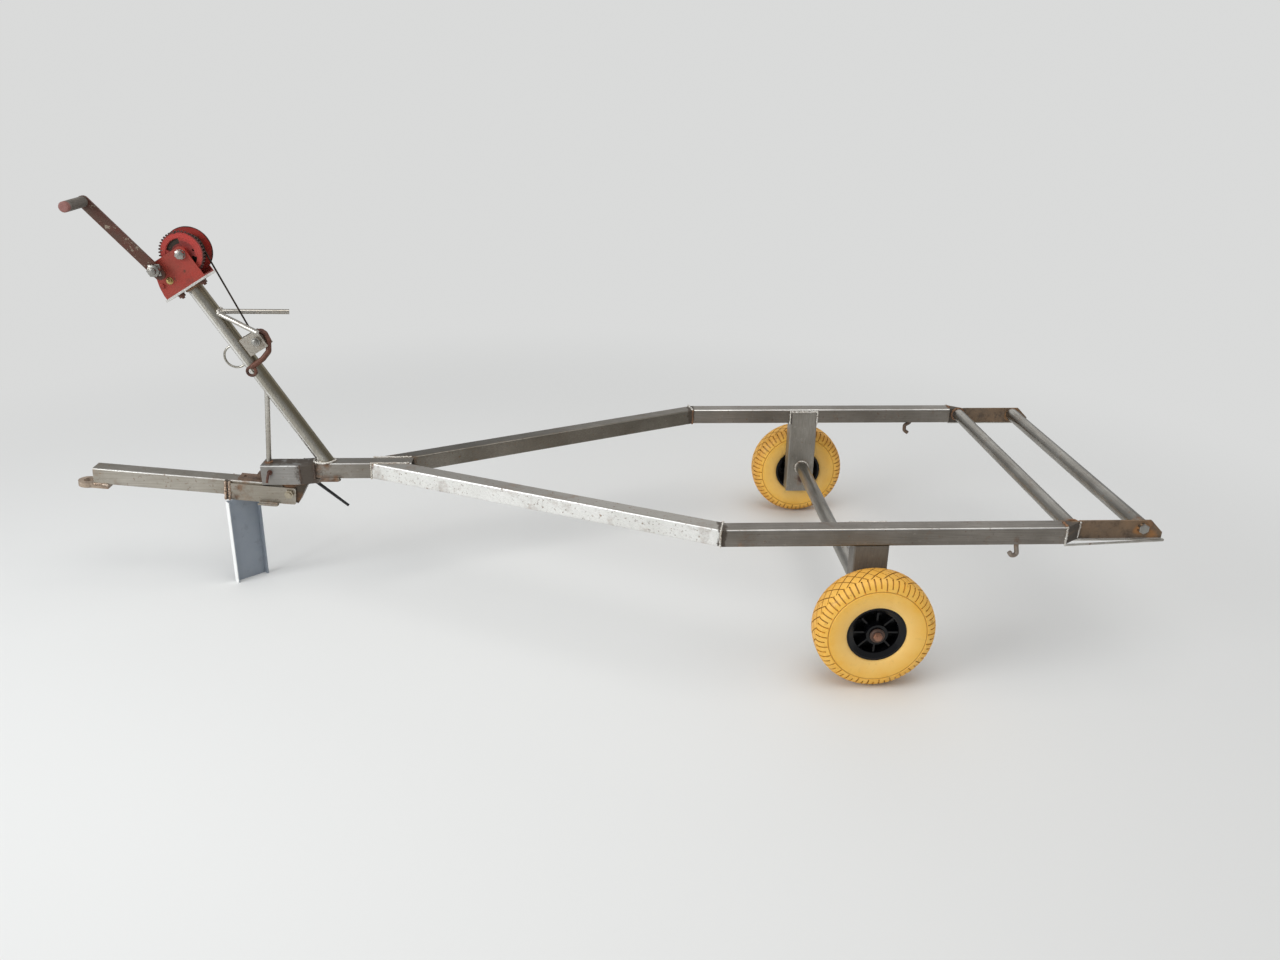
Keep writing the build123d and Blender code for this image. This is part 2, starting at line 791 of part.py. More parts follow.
hub_inner_y = wheel_centre_y - hub_length / 2
hub_outer_y = wheel_centre_y + hub_length / 2
stub = cross_bar(stub_radius, 0, axle_height, -hub_outer_y - wheel_side_gap, -leg_y1 + 3)
stub += cross_bar(cap_radius - 1, 0, axle_height, -hub_inner_y + wheel_side_gap, -leg_box_outer)
cap_y = -hub_outer_y - wheel_side_gap
cap = cross_bar(cap_radius, 0, axle_height, cap_y - cap_length, cap_y)
cap = chamfer(cap.edges().group_by(Axis.Y)[0], 2)
stub += cap
nodes["stub_axle_left"] = frame(stub)
nodes["stub_axle_right"] = frame(mirrored(stub))

# Wheel: a solid tyre on a ribbed plastic rim
half_rim = rim_width / 2
half_tyre = tyre_width / 2
crown = wheel_diameter / 2


def turned(points):
    """Revolves a half section, given as (distance from the wheel's centre plane, radius)."""
    face = make_face(Polyline(*[(radius, along, 0) for along, radius in points], close=True))
    solid = revolve(face, axis=Axis.Y)
    return solid


tyre_points = [
    (-half_rim, rim_radius),
    (-half_rim - 5, rim_radius + 3),
    (-half_tyre + 1.5, rim_radius + 18),
    (-half_tyre, rim_radius + 30),
    (-half_tyre + 1.5, crown - 22),
    (-half_tyre + 5, crown - 14),
    (-half_tyre + 12, crown - 6.5),
    (-half_tyre + 24, crown - 1.6),
    (0, crown),
    (half_tyre - 24, crown - 1.6),
    (half_tyre - 12, crown - 6.5),
    (half_tyre - 5, crown - 14),
    (half_tyre - 1.5, crown - 22),
    (half_tyre, rim_radius + 30),
    (half_tyre - 1.5, rim_radius + 18),
    (half_rim + 5, rim_radius + 3),
    (half_rim, rim_radius),
    (half_rim - rim_lip, rim_radius),
    (half_rim - rim_lip - 4, rim_radius - 7),
    (-half_rim + rim_lip + 4, rim_radius - 7),
    (-half_rim + rim_lip, rim_radius),
]
tyre = turned(tyre_points)
rim_points = [
    (-half_rim, rim_radius),
    (-half_rim + rim_lip, rim_radius),
    (-half_rim + rim_lip + 4, rim_radius - 7),
    (half_rim - rim_lip - 4, rim_radius - 7),
    (half_rim - rim_lip, rim_radius),
    (half_rim, rim_radius),
    (half_rim, rim_radius - 5),
    (half_rim - 6, rim_well_radius),
    (rim_web / 2, rim_well_radius - 2),
    (-rim_web / 2, rim_well_radius - 2),
    (-half_rim + 6, rim_well_radius),
    (-half_rim, rim_radius - 5),
]
rim = turned(rim_points)
rim += cross_bar(hub_radius, 0, 0, -hub_length / 2, hub_length / 2)
rim += cross_bar(rim_well_radius - 1, 0, 0, -rim_web / 2, rim_web / 2)
for rib in range(rib_count):
    spoke = box(
        hub_radius - 3,
        rim_well_radius - 0.5,
        -half_rim + 9,
        half_rim - 9,
        -rib_thickness / 2,
        rib_thickness / 2,
    )
    rim += spoke.rotate(Axis.Y, 360 / rib_count * rib)
rim -= cross_bar(stub_radius + running_clearance, 0, 0, -tyre_width, tyre_width)
for side, name in ((-1, "left"), (1, "right")):
    place = Pos(0, side * wheel_centre_y, axle_height)
    nodes["tyre_" + name] = place * tyre
    nodes["rim_" + name] = place * rim

# Rear plates with their necks, cross tube and roller
neck_x = rail_rear_x + rear_neck
plate_outer = half_track - rear_plate_setback
plate_inner = plate_outer - rear_plate_thickness
neck_face = make_face(
    Polyline(
        (rail_rear_x, -half_track),
        (rail_rear_x, -half_track + tube_size),
        (rail_rear_x + rear_neck_root, -plate_inner),
        (neck_x, -plate_inner),
        (neck_x, -plate_outer),
        close=True,
    )
)
rear_plate = Pos(0, 0, tube_bottom) * extrude(neck_face, tube_size)
plate_top = rear_plate_bottom + rear_plate_height
bar_face = make_face(
    Polyline(
        (neck_x, rear_plate_bottom),
        (rear_end_x, rear_plate_bottom),
        (rear_end_x, plate_top - rear_plate_corner),
        (rear_end_x - rear_plate_corner, plate_top),
        (neck_x, plate_top),
        close=True,
    )
)
rear_plate += Pos(0, -plate_inner, 0) * extrude(Plane.XZ * bar_face, rear_plate_thickness)
roller_half = plate_inner - roller_end_gap
rear_plate += cross_bar(
    roller_pin_radius, roller_x, roller_z, -plate_inner + 28, -plate_outer - 9
)
rear_plate += Pos(roller_x, -plate_outer, roller_z) * Rot(90, 0, 0) * nut(20, 8)
nodes["rear_plate_left"] = frame(rear_plate)
nodes["rear_plate_right"] = frame(mirrored(rear_plate))

cross_half = plate_inner
cross_tube = cross_bar(cross_tube_radius, cross_tube_x, cross_tube_z, -cross_half, cross_half)
cross_tube -= cross_bar(
    cross_tube_radius - cross_tube_wall, cross_tube_x, cross_tube_z, -cross_half, cross_half
)
nodes["cross_tube"] = frame(cross_tube)

roller = cross_bar(roller_radius, roller_x, roller_z, -roller_half, roller_half)
roller = chamfer(roller.edges(), 1.5)
roller -= cross_bar(
    roller_pin_radius + running_clearance, roller_x, roller_z, -roller_half, -roller_half + 40
)
roller -= cross_bar(
    roller_pin_radius + running_clearance, roller_x, roller_z, roller_half - 40, roller_half
)
nodes["rear_roller"] = frame(roller)

loop_z = rear_plate_bottom - strap_rod_radius
loop_inner_y = -plate_outer - 1
rear_loop = bent_rod(
    [
        (rail_rear_x + 2, loop_inner_y, loop_z),
        (rear_end_x + 2, loop_inner_y, loop_z),
        (rear_end_x + 2, loop_inner_y - 6, loop_z),
        (rail_rear_x + 2, -half_track + strap_loop_inset, loop_z),
    ],
    strap_rod_radius,
    2.7,
)
nodes["strap_loop_left"] = frame(rear_loop)
nodes["strap_loop_right"] = frame(mirrored(rear_loop))

for side, name in ((-1, "left"), (1, "right")):
    rail_hook = bent_rod(
        [
            (x, side * (rail_centre_y + outward), tube_bottom - down)
            for x, outward, down in rail_hooks[name]
        ],
        rail_hook_radius,
        rail_hook_bend,
    )
    nodes["rail_hook_" + name] = frame(rail_hook)

# The part's origin: middle of the whole on the floor
front_end = nodes["hitch_eye"].bounding_box().min.X
rear_end = max(shape.bounding_box().max.X for shape in nodes.values())
shift_x = -(front_end + rear_end) / 2
os.makedirs("parts", exist_ok=True)
for name, shape in nodes.items():
    export_step(Pos(shift_x, 0, 0) * shape, "parts/" + name + ".step")


def tell(name, level_x, level_z):
    """Prints where a joint of the sloping frame stands, in metres."""
    x = level_x * math.cos(slope) - (level_z - axle_height) * math.sin(slope) + shift_x
    z = axle_height + level_x * math.sin(slope) + (level_z - axle_height) * math.cos(slope)
    print(name, round(x / 1000, 6), round(z / 1000, 6))


def on_winch_point(x, z):
    point = post_plane.from_local_coords(Vector(x, 0, post_length + z))
    return point.X, point.Z


print("pieces", len(nodes))
print("shift", round(shift_x, 4))
tell("wheel", 0, axle_height)
tell("drum", *on_winch_point(drum_shaft_at, shaft_height))
tell("crank", *on_winch_point(crank_at, shaft_height))
tell("roller", roller_x, roller_z)
print("hinge", round((hinge_x + shift_x) / 1000, 6), round(hinge_z / 1000, 6))
eye_place = hinged(Pos(eye_x, 0, eye_z) * Sphere(1)).center()
print("eye", round((eye_place.X + shift_x) / 1000, 6), round(eye_place.Z / 1000, 6))
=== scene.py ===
import json
import math
import random
import bpy
from mathutils import Matrix, Vector

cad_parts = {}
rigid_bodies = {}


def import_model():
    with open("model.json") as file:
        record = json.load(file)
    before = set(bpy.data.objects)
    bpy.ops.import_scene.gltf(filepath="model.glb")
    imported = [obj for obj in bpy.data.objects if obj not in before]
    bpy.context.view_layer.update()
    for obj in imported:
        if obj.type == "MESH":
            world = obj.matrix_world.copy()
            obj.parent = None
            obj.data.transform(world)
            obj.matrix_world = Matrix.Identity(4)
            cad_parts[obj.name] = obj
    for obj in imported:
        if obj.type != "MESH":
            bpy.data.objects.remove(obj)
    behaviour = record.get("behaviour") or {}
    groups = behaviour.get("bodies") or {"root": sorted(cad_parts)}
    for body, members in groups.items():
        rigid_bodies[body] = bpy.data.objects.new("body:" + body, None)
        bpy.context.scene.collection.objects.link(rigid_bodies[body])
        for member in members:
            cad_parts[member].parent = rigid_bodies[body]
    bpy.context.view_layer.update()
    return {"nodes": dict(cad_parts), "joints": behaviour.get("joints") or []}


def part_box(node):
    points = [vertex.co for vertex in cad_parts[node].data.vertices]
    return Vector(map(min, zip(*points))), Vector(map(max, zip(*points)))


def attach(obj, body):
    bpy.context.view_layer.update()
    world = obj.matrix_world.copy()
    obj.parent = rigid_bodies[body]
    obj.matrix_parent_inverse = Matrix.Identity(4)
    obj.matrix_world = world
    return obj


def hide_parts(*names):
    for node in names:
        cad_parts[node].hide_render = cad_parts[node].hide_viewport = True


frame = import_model()

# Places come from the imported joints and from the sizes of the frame, in millimetres.
nodes = frame["nodes"]
jointAt = {j["name"]: Vector(j["pos_m"]) for j in frame["joints"]}
axleAt = jointAt["wheel_left_spin"]
drumSpin, crankSpin = jointAt["drum_spin"], jointAt["crank_spin"]
mm = 0.001
frameTilt = math.radians(1.17)      # the frame is nose down by this much
barTilt = math.radians(4.55)        # the drawbar is nose up by this much
postLean = math.radians(30.76)      # the winch post leans forward from the frame's square
topZ, middleZ = 336, 316            # top and middle of the frame's square tubes
tubeZ = 320                         # middle of the round tubes at the rear
mitreX, railEndX = -324, 409        # ends of the straight rails
crossX, rollerX = 434.5, 588.5      # the fixed round tube and the roller
postX, braceX = -1241.9, -1380      # feet of the winch post and of its brace
postLength = 494
across = (0, 1, 0)


def onFrame(x, y, z):
    # a point of the sloping frame: x behind the axle, z above the floor before the tilt
    x, z = x * mm, z * mm - axleAt.z
    c, s = math.cos(frameTilt), math.sin(frameTilt)
    return Vector((axleAt.x + x * c - z * s, y * mm, axleAt.z + x * s + z * c))


def onBar(x, y, z):
    # a point of the drawbar: x behind its hinge, z square to it
    c, s = math.cos(barTilt), math.sin(barTilt)
    hinge = jointAt["drawbar_hinge"]
    return Vector((hinge.x + (x * c + z * s) * mm, y * mm, hinge.z + (z * c - x * s) * mm))


def onPost(x, y, z):
    # a point of the winch post: x behind its middle line, z along it from the foot
    c, s = math.cos(postLean), math.sin(postLean)
    return onFrame(postX + x * c - z * s, y, topZ + x * s + z * c)


def onWinch(x, y, z):
    # a point of the winch: the same, with z from the post's upper end
    return onPost(x, y, postLength + z)


def inMetres(*lengths):
    return [length * mm for length in lengths]


def deselectAll():
    for o in bpy.context.view_layer.objects:
        o.select_set(False)


def setActive(piece):
    deselectAll()
    bpy.context.view_layer.objects.active = piece
    piece.select_set(True)


def editAll(piece):
    # edit mode with the whole piece selected
    setActive(piece)
    bpy.ops.object.mode_set(mode="EDIT")
    bpy.ops.mesh.select_all(action="SELECT")


def editFaces(piece, test):
    # edit mode with only the faces selected that pass the test
    for v in piece.data.vertices:
        v.select = False
    for e in piece.data.edges:
        e.select = False
    for face in piece.data.polygons:
        face.select = bool(test(face))
    setActive(piece)
    bpy.ops.object.mode_set(mode="EDIT")
    bpy.ops.mesh.select_mode(type="FACE")


def leaveEdit():
    bpy.ops.object.mode_set(mode="OBJECT")


def applyModifiers(piece):
    setActive(piece)
    for m in list(piece.modifiers):
        bpy.ops.object.modifier_apply(modifier=m.name)


def bevelEdges(piece, width, segments=2, angle=40):
    m = piece.modifiers.new("edge", "BEVEL")
    m.width = width * mm
    m.segments = segments
    m.limit_method = "ANGLE"
    m.angle_limit = math.radians(angle)
    applyModifiers(piece)


def settle(piece, smooth=35):
    # the piece's place goes into its mesh, and faces are smooth up to an angle
    setActive(piece)
    bpy.ops.object.transform_apply(location=True, rotation=True, scale=True)
    bpy.ops.object.shade_smooth_by_angle(angle=math.radians(smooth))
    piece.select_set(False)


def joined(name, parts):
    deselectAll()
    for part in parts:
        part.select_set(True)
    bpy.context.view_layer.objects.active = parts[0]
    if len(parts) > 1:
        bpy.ops.object.join()
    parts[0].name = name
    return parts[0]


def copyOf(piece, name):
    twin = piece.copy()
    twin.data = piece.data.copy()
    twin.name = name
    bpy.context.scene.collection.objects.link(twin)
    return twin


def drawProfile(name, points):
    # a plane shrunk to one point, then drawn out through the others, in millimetres
    deselectAll()
    bpy.ops.mesh.primitive_plane_add(size=mm, location=(0, 0, 0))
    piece = bpy.context.active_object
    piece.name = name
    editAll(piece)
    bpy.ops.mesh.select_mode(type="VERT")
    bpy.ops.mesh.merge(type="CENTER")
    bpy.ops.transform.translate(value=Vector(points[0]) * mm)
    for a, b in zip(points, points[1:]):
        step = (Vector(b) - Vector(a)) * mm
        bpy.ops.mesh.extrude_vertices_move(TRANSFORM_OT_translate={"value": step})
    leaveEdit()
    return piece


def turnedPiece(name, outline, steps=32):
    # a section given as (along, radius), spun about the Y axis and closed
    piece = drawProfile(name, [(radius, along, 0) for along, radius in outline])
    editAll(piece)
    bpy.ops.mesh.spin(steps=steps, angle=2 * math.pi, center=(0, 0, 0), axis=across)
    bpy.ops.mesh.select_all(action="SELECT")
    bpy.ops.mesh.remove_doubles(threshold=0.00002)
    bpy.ops.mesh.normals_make_consistent(inside=False)
    leaveEdit()
    return piece


def dress(piece, finish, body, slot, *replaced):
    piece.data.materials.clear()
    piece.data.materials.append(finishes[finish])
    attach(piece, body)
    if replaced:
        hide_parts(*replaced)


# Camera: the viewing angle of the reference picture
view = {
    "pictureWidth": 1280,
    "sensor": 36,              # millimetres
    "focal": 1034.97,          # in pixels of the picture
    "turn": 0.0515,            # to the right of straight across, radians
    "down": 0.3894,
    "roll": 0.0326,
    "place": (-0.00226, -2.36637, 1.24257),        # metres
}


def makeCamera():
    data = bpy.data.cameras.new("camera")
    data.sensor_width = view["sensor"]
    data.lens = view["focal"] * view["sensor"] / view["pictureWidth"]
    data.clip_end = 100
    camera = bpy.data.objects.new("camera", data)
    bpy.context.scene.collection.objects.link(camera)
    aim = Matrix.Rotation(-view["turn"], 4, "Z") @ Matrix.Rotation(math.pi / 2 - view["down"], 4, "X")
    camera.matrix_world = Matrix.Translation(view["place"]) @ aim @ Matrix.Rotation(view["roll"], 4, "Z")
    bpy.context.scene.camera = camera


# Studio: what a user would change. Places and sizes are in metres, power is in watts.
studio = {
    "backdrop": (0.70, 0.705, 0.70),
    "fill": (0.92, 0.94, 0.96),
    "fillStrength": 0.46,
    "floor": (0.79, 0.79, 0.78),
    "fadeFrom": 1.1,           # the floor takes on the backdrop's tone between these distances
    "fadeTo": 2.7,
}
lamps = {
    "overhead": {"place": (0.5, -0.6, 3.6), "target": (0, 0, 0), "size": (3.6, 2.6), "power": 58,
                 "colour": (1.0, 0.98, 0.95)},
    "fromLeft": {"place": (-3.4, -2.2, 2.0), "target": (0, 0, 0.2), "size": (2.2, 1.8), "power": 92,
                 "colour": (0.95, 0.98, 1.0)},
    "behind": {"place": (1.2, 3.2, 1.9), "target": (0.2, 0, 0.2), "size": (3.0, 1.4), "power": 9,
               "colour": (1.0, 0.99, 0.97)},
}


def makeFloor():
    # pale floor that fades into the backdrop's own tone with distance
    deselectAll()
    bpy.ops.mesh.primitive_plane_add(size=80, location=(0, 0, 0))
    floor = bpy.context.active_object
    floor.name = "floor"
    f = Finish("paleFloor")
    looks = {"Base Color": (*studio["floor"], 1), "Roughness": 0.75, "Specular IOR Level": 0.25}
    for key, value in looks.items():
        f.feed(f.shader.inputs[key], value)
    reach = f.add("VectorMath", {0: f.place}, operation="LENGTH").outputs["Value"]
    sockets = {"Value": reach, "From Min": studio["fadeFrom"], "From Max": studio["fadeTo"]}
    fade = f.add("MapRange", sockets, interpolation_type="SMOOTHSTEP").outputs["Result"]
    share = f.times(fade, f.add("LightPath", {}).outputs["Is Camera Ray"])
    glow = f.add("Emission", {"Color": (*studio["backdrop"], 1)}).outputs[0]
    mix = f.add("MixShader", {0: share, 1: f.shader.outputs[0], 2: glow}).outputs[0]
    f.feed(f.tree.nodes["Material Output"].inputs["Surface"], mix)
    floor.data.materials.append(f.material)


def softLight(name, place, target, size, power, colour):
    data = bpy.data.lights.new(name, "AREA")
    data.shape = "RECTANGLE"
    data.size, data.size_y = size
    data.energy = power
    data.color = colour
    lamp = bpy.data.objects.new(name, data)
    bpy.context.scene.collection.objects.link(lamp)
    lamp.location = place
    lamp.rotation_euler = (Vector(target) - Vector(place)).to_track_quat("-Z", "Y").to_euler()


def makeLight():
    # an even fill that lights the object, and a plain backdrop that only the camera sees
    world = bpy.data.worlds.new("studio")
    bpy.context.scene.world = world
    world.use_nodes = True
    tree = world.node_tree
    fill = tree.nodes["Background"]
    fill.inputs["Color"].default_value = (*studio["fill"], 1)
    fill.inputs["Strength"].default_value = studio["fillStrength"]
    backdrop = tree.nodes.new("ShaderNodeBackground")
    backdrop.inputs["Color"].default_value = (*studio["backdrop"], 1)
    backdrop.inputs["Strength"].default_value = 1.0
    ray = tree.nodes.new("ShaderNodeLightPath")
    mix = tree.nodes.new("ShaderNodeMixShader")
    tree.links.new(ray.outputs["Is Camera Ray"], mix.inputs[0])
    tree.links.new(fill.outputs[0], mix.inputs[1])
    tree.links.new(backdrop.outputs[0], mix.inputs[2])
    tree.links.new(mix.outputs[0], tree.nodes["World Output"].inputs["Surface"])
    for name, lamp in lamps.items():
        softLight(name, **lamp)
    bpy.context.scene.view_settings.view_transform = "Standard"


class Finish:
    # a material under construction: its shader, and the object's own coordinates
    def __init__(self, name):
        self.material = bpy.data.materials.new(name)
        self.material.use_nodes = True
        self.tree = self.material.node_tree
        self.shader = self.tree.nodes["Principled BSDF"]
        self.place = self.add("TexCoord", {}).outputs["Object"]

    def feed(self, socket, value):
        # a socket takes a plain value or another node's output
        if isinstance(value, bpy.types.NodeSocket):
            self.tree.links.new(value, socket)
        else:
            socket.default_value = value

    def add(self, kind, sockets, **settings):
        node = self.tree.nodes.new("ShaderNode" + kind)
        for key, value in settings.items():
            setattr(node, key, value)
        for key, value in sockets.items():
            self.feed(node.inputs[key], value)
        return node

    def stretched(self, scale):
        return self.add("Mapping", {"Vector": self.place, "Scale": scale}).outputs["Vector"]

    def noise(self, scale, detail=4, rough=0.55, vector=None):
        sockets = {"Vector": vector or self.place, "Scale": scale, "Detail": detail, "Roughness": rough}
        return self.add("TexNoise", sockets).outputs["Fac"]

    def span(self, value, low, high, toLow=0.0, toHigh=1.0):
        sockets = {"Value": value, "From Min": low, "From Max": high, "To Min": toLow, "To Max": toHigh}
        return self.add("MapRange", sockets).outputs["Result"]

    def math(self, kind, a, b=0.0):
        return self.add("Math", {0: a, 1: b}, operation=kind).outputs[0]

    def plus(self, a, b):
        return self.math("ADD", a, b)

    def times(self, a, b):
        return self.math("MULTIPLY", a, b)

    def gap(self, a, b):
        # how far two values are apart
        return self.math("ABSOLUTE", self.math("SUBTRACT", a, b))

    def least(self, first, *others):
        for other in others:
            first = self.math("MINIMUM", first, other)
        return first

    def most(self, first, *others):
        for other in others:
            first = self.math("MAXIMUM", first, other)
        return first

    def blend(self, share, first, second):
        first, second = [(*c, 1) if isinstance(c, tuple) else c for c in (first, second)]
        return self.add("Mix", {0: share, 6: first, 7: second}, data_type="RGBA").outputs[2]

    def vector(self, kind, a, b):
        return self.add("VectorMath", {0: a, 1: b}, operation=kind)

    def axis(self, name):
        return self.add("SeparateXYZ", {0: self.place}).outputs[name]

    def near(self, points, reach):
        # 1 at any of the points, fading to 0 at the reach
        gaps = [self.vector("DISTANCE", self.place, point).outputs["Value"] for point in points]
        return self.span(self.least(*gaps), 0.0, reach, 1.0, 0.0)

    def offPlane(self, point, normal):
        # distance from the plane through the point
        away = self.vector("SUBTRACT", self.place, point).outputs[0]
        return self.math("ABSOLUTE", self.vector("DOT_PRODUCT", away, normal).outputs["Value"])

    def seam(self, seams, reach):
        # 1 on any of the planes given as (point, normal), fading to 0 at the reach
        gaps = [self.offPlane(point, normal) for point, normal in seams]
        return self.span(self.least(*gaps), 0.0, reach, 1.0, 0.0)

    def fromAxis(self, centre):
        # distance from a line across the trailer, for wheels, gears and drums
        flat = self.vector("MULTIPLY", self.place, (1, 0, 1)).outputs[0]
        return self.vector("DISTANCE", flat, (centre.x, 0, centre.z)).outputs["Value"]

    def bump(self, height, distance, strength=1.0, under=None):
        sockets = {"Height": height, "Distance": distance, "Strength": strength}
        if under is not None:
            sockets["Normal"] = under
        return self.add("Bump", sockets).outputs["Normal"]

    def done(self, colour, rough, normal, metal):
        sockets = {"Base Color": colour, "Roughness": rough, "Normal": normal, "Metallic": metal}
        for key, value in sockets.items():
            self.feed(self.shader.inputs[key], value)
        return self.material


def toned(colour, share):
    return tuple(min(1, c * share) for c in colour)


# Steel: what a user would change on every steel piece. Widths are in millimetres.
steelLook = {
    # painted highlight colour of the bright edge lines
    "edgeHighlight": (0.92, 0.91, 0.88),
    "edgeWidth": (1.6, 3.4),           # bright up to here, faded out there
    "burnt": (0.060, 0.044, 0.031),
    "seamWidth": 14,
    "rustDeep": (0.085, 0.042, 0.022),
    "rustLight": (0.22, 0.115, 0.055),
    "rustPale": (0.36, 0.19, 0.08),
}


def steel(name, light, dark, rust=0.2, welds=(), seams=(), reach=0.035, grain=(1, 30, 30), shine=(0.28, 0.5),
          edges=(), tops=None, scorch=(), burnReach=0.032, metalShare=1.0):
    # satin stainless tube: drawn grain along it, cloudy tarnish, rust specks, burnt brown at the welds.
    # seams are planes with a dark line; each edge, as (point, normal, normal), gets a bright line of painted
    # highlight;
    # the band (plane, colour, thickness) is painted shade, and the dark spots are points with burns and painted
    # shade
    f = Finish(name)
    cloud = f.noise(7, 5, 0.6)
    fine = f.noise(60, 4, 0.6)
    drawn = f.noise(14, 3, 0.6, f.stretched(grain))
    colour = f.blend(f.span(cloud, 0.35, 0.68), light, dark)
    colour = f.blend(f.span(drawn, 0.3, 0.75, 0.0, 0.55), colour, toned(dark, 0.7))
    pale = f.span(f.noise(75, 5, 0.75), 0.60, 0.72, 0.0, 0.45)
    colour = f.blend(pale, colour, toned(light, 1.35))
    specks = f.span(f.noise(130, 3, 0.7), 0.66 - 0.10 * rust, 0.74 - 0.08 * rust)
    patch = f.span(f.noise(15, 6, 0.7), 0.64 - 0.16 * rust, 0.80 - 0.12 * rust)
    stain = f.most(f.times(specks, 0.85), f.times(patch, 0.6))
    # painted shade: a band about a plane in a darker colour
    if tops:
        plane, shadeColour, thickness = tops
        flat = f.span(f.offPlane(*plane), thickness * 0.4, thickness, 0.9, 0.0)
        colour = f.blend(flat, colour, shadeColour)
    # painted highlight: bright lines along the given edges
    if edges:
        gaps = [f.most(f.offPlane(point, one), f.offPlane(point, other)) for point, one, other in edges]
        bright, gone = inMetres(*steelLook["edgeWidth"])
        worn = f.times(f.span(f.least(*gaps), bright, gone, 1.0, 0.0), f.span(cloud, 0.3, 0.6, 0.95, 0.45))
        colour = f.blend(worn, colour, steelLook["edgeHighlight"])
    if welds:
        halo = f.plus(f.near(welds, reach), f.span(f.noise(40, 6, 0.75), 0.3, 0.7, -0.55, 0.30))
        stain = f.most(stain, f.span(halo, 0.30, 0.80, 0.0, 0.95))
    brown = f.blend(f.span(fine, 0.35, 0.65), steelLook["rustDeep"], steelLook["rustLight"])
    brown = f.blend(f.span(f.noise(95, 5, 0.7), 0.55, 0.68, 0.0, 0.8), brown, steelLook["rustPale"])
    colour = f.blend(stain, colour, brown)
    # darker marks: burnt seams and burns at the welds, and painted shade in the throat
    darkMasks = []
    if seams:
        darkMasks.append(f.seam(seams, steelLook["seamWidth"] * mm))
    if scorch:
        darkMasks.append(f.near(scorch, burnReach))
    for darkMask in darkMasks:
        darkShare = f.plus(darkMask, f.span(f.noise(52, 6, 0.75), 0.3, 0.7, -0.45, 0.30))
        darkShare = f.span(darkShare, 0.18, 0.48, 0.0, 0.95)
        colour = f.blend(darkShare, colour, steelLook["burnt"])
        stain = f.most(stain, darkShare)
    rough = f.plus(f.span(drawn, 0.2, 0.8, *shine), f.times(stain, 0.3))
    metal = f.span(stain, 0.15, 0.9, metalShare, 0.15 * metalShare)
    normal = f.bump(f.noise(220, 4, 0.7), 0.0004, 0.35)
    normal = f.bump(cloud, 0.003, 0.25, normal)
    return f.done(colour, rough, normal, metal)


def rusted(name, light, dark, deep, shine=(0.62, 0.9), welds=(), glow=(0.42, 0.20, 0.07), reach=0.03,
           scorch=(), burnt=(0.075, 0.066, 0.055)):
    # heavy rust: ochre and brown clouds, dark scale, an orange halo round the welds and bolts, dark burns
    f = Finish(name)
    cloud = f.noise(16, 6, 0.65)
    grit = f.noise(150, 4, 0.7)
    scale = f.noise(46, 5, 0.7)
    colour = f.blend(f.span(cloud, 0.32, 0.66), light, dark)
    colour = f.blend(f.span(scale, 0.5, 0.72), colour, deep)
    if welds:
        halo = f.plus(f.near(welds, reach), f.span(scale, 0.3, 0.7, -0.35, 0.25))
        colour = f.blend(f.span(halo, 0.3, 0.75, 0.0, 0.85), colour, glow)
    colour = f.blend(f.span(grit, 0.6, 0.75, 0.0, 0.6), colour, toned(light, 1.5))
    if scorch:
        darkShare = f.plus(f.near(scorch, 0.034), f.span(scale, 0.3, 0.7, -0.25, 0.25))
        colour = f.blend(f.span(darkShare, 0.30, 0.60, 0.0, 0.9), colour, burnt)
    rough = f.span(grit, 0.3, 0.7, *shine)
    normal = f.bump(grit, 0.0006, 0.6, f.bump(scale, 0.0014, 0.6))
    return f.done(colour, rough, normal, 0.15)


# Paint: what a user would change on every painted piece
paintLook = {
    "grease": (0.028, 0.018, 0.014),
    "ringGreaseShade": (0.11, 0.016, 0.014),
    "gloss": 0.32,
}


def painted(name, colour, worn, bare, wear=0.3, shine=(0.38, 0.6), dirt=(0.05, 0.03, 0.025), greasy=None,
            ring=None, cutFace=None):
    # old paint: faded patches, chips down to metal, greasy dirt; greasy is (axis, from radius, to radius), the
    # ring has the two radii of a dark ring about that axis (grease and painted shade), in millimetres, and the
    # face painted pale as a highlight is (point, normal, colour)
    f = Finish(name)
    cloud = f.noise(22, 5, 0.6)
    chips = f.noise(85, 5, 0.72)
    grime = f.noise(38, 6, 0.7)
    skin = f.blend(f.span(cloud, 0.32, 0.68), colour, worn)
    skin = f.blend(f.span(grime, 0.56, 0.76, 0.0, 0.75), skin, dirt)
    chipped = f.span(chips, 0.66 - 0.12 * wear, 0.70 - 0.12 * wear)
    skin = f.blend(chipped, skin, bare)
    rough = f.span(cloud, 0.3, 0.7, *shine)
    if greasy:
        axis, inner, outer = greasy
        radius = f.plus(f.fromAxis(axis), f.span(grime, 0.3, 0.7, -0.0015, 0.0015))
        grease = f.span(radius, inner * mm, outer * mm, 0.0, 0.92)
        skin = f.blend(grease, skin, paintLook["grease"])
        # dark ring: grease, with the painted shade of the gear's recessed web
        if ring:
            middle, half = inMetres(sum(ring) / 2, abs(ring[1] - ring[0]) / 2)
            dark = f.span(f.gap(radius, middle), half * 0.6, half, 0.75, 0.0)
            dark = f.times(dark, f.span(grime, 0.25, 0.55, 0.5, 1.0))
            skin = f.blend(dark, skin, paintLook["ringGreaseShade"])
    # painted highlight: a face painted pale
    if cutFace:
        point, normal, highlightColour = cutFace
        skin = f.blend(f.span(f.offPlane(point, normal), 0.0008, 0.0018, 0.95, 0.0), skin, highlightColour)
    f.shader.inputs["Specular IOR Level"].default_value = paintLook["gloss"]
    normal = f.bump(chips, 0.0007, 0.4, f.bump(f.noise(300, 3), 0.0002, 0.35))
    return f.done(skin, rough, normal, f.times(chipped, 0.5))


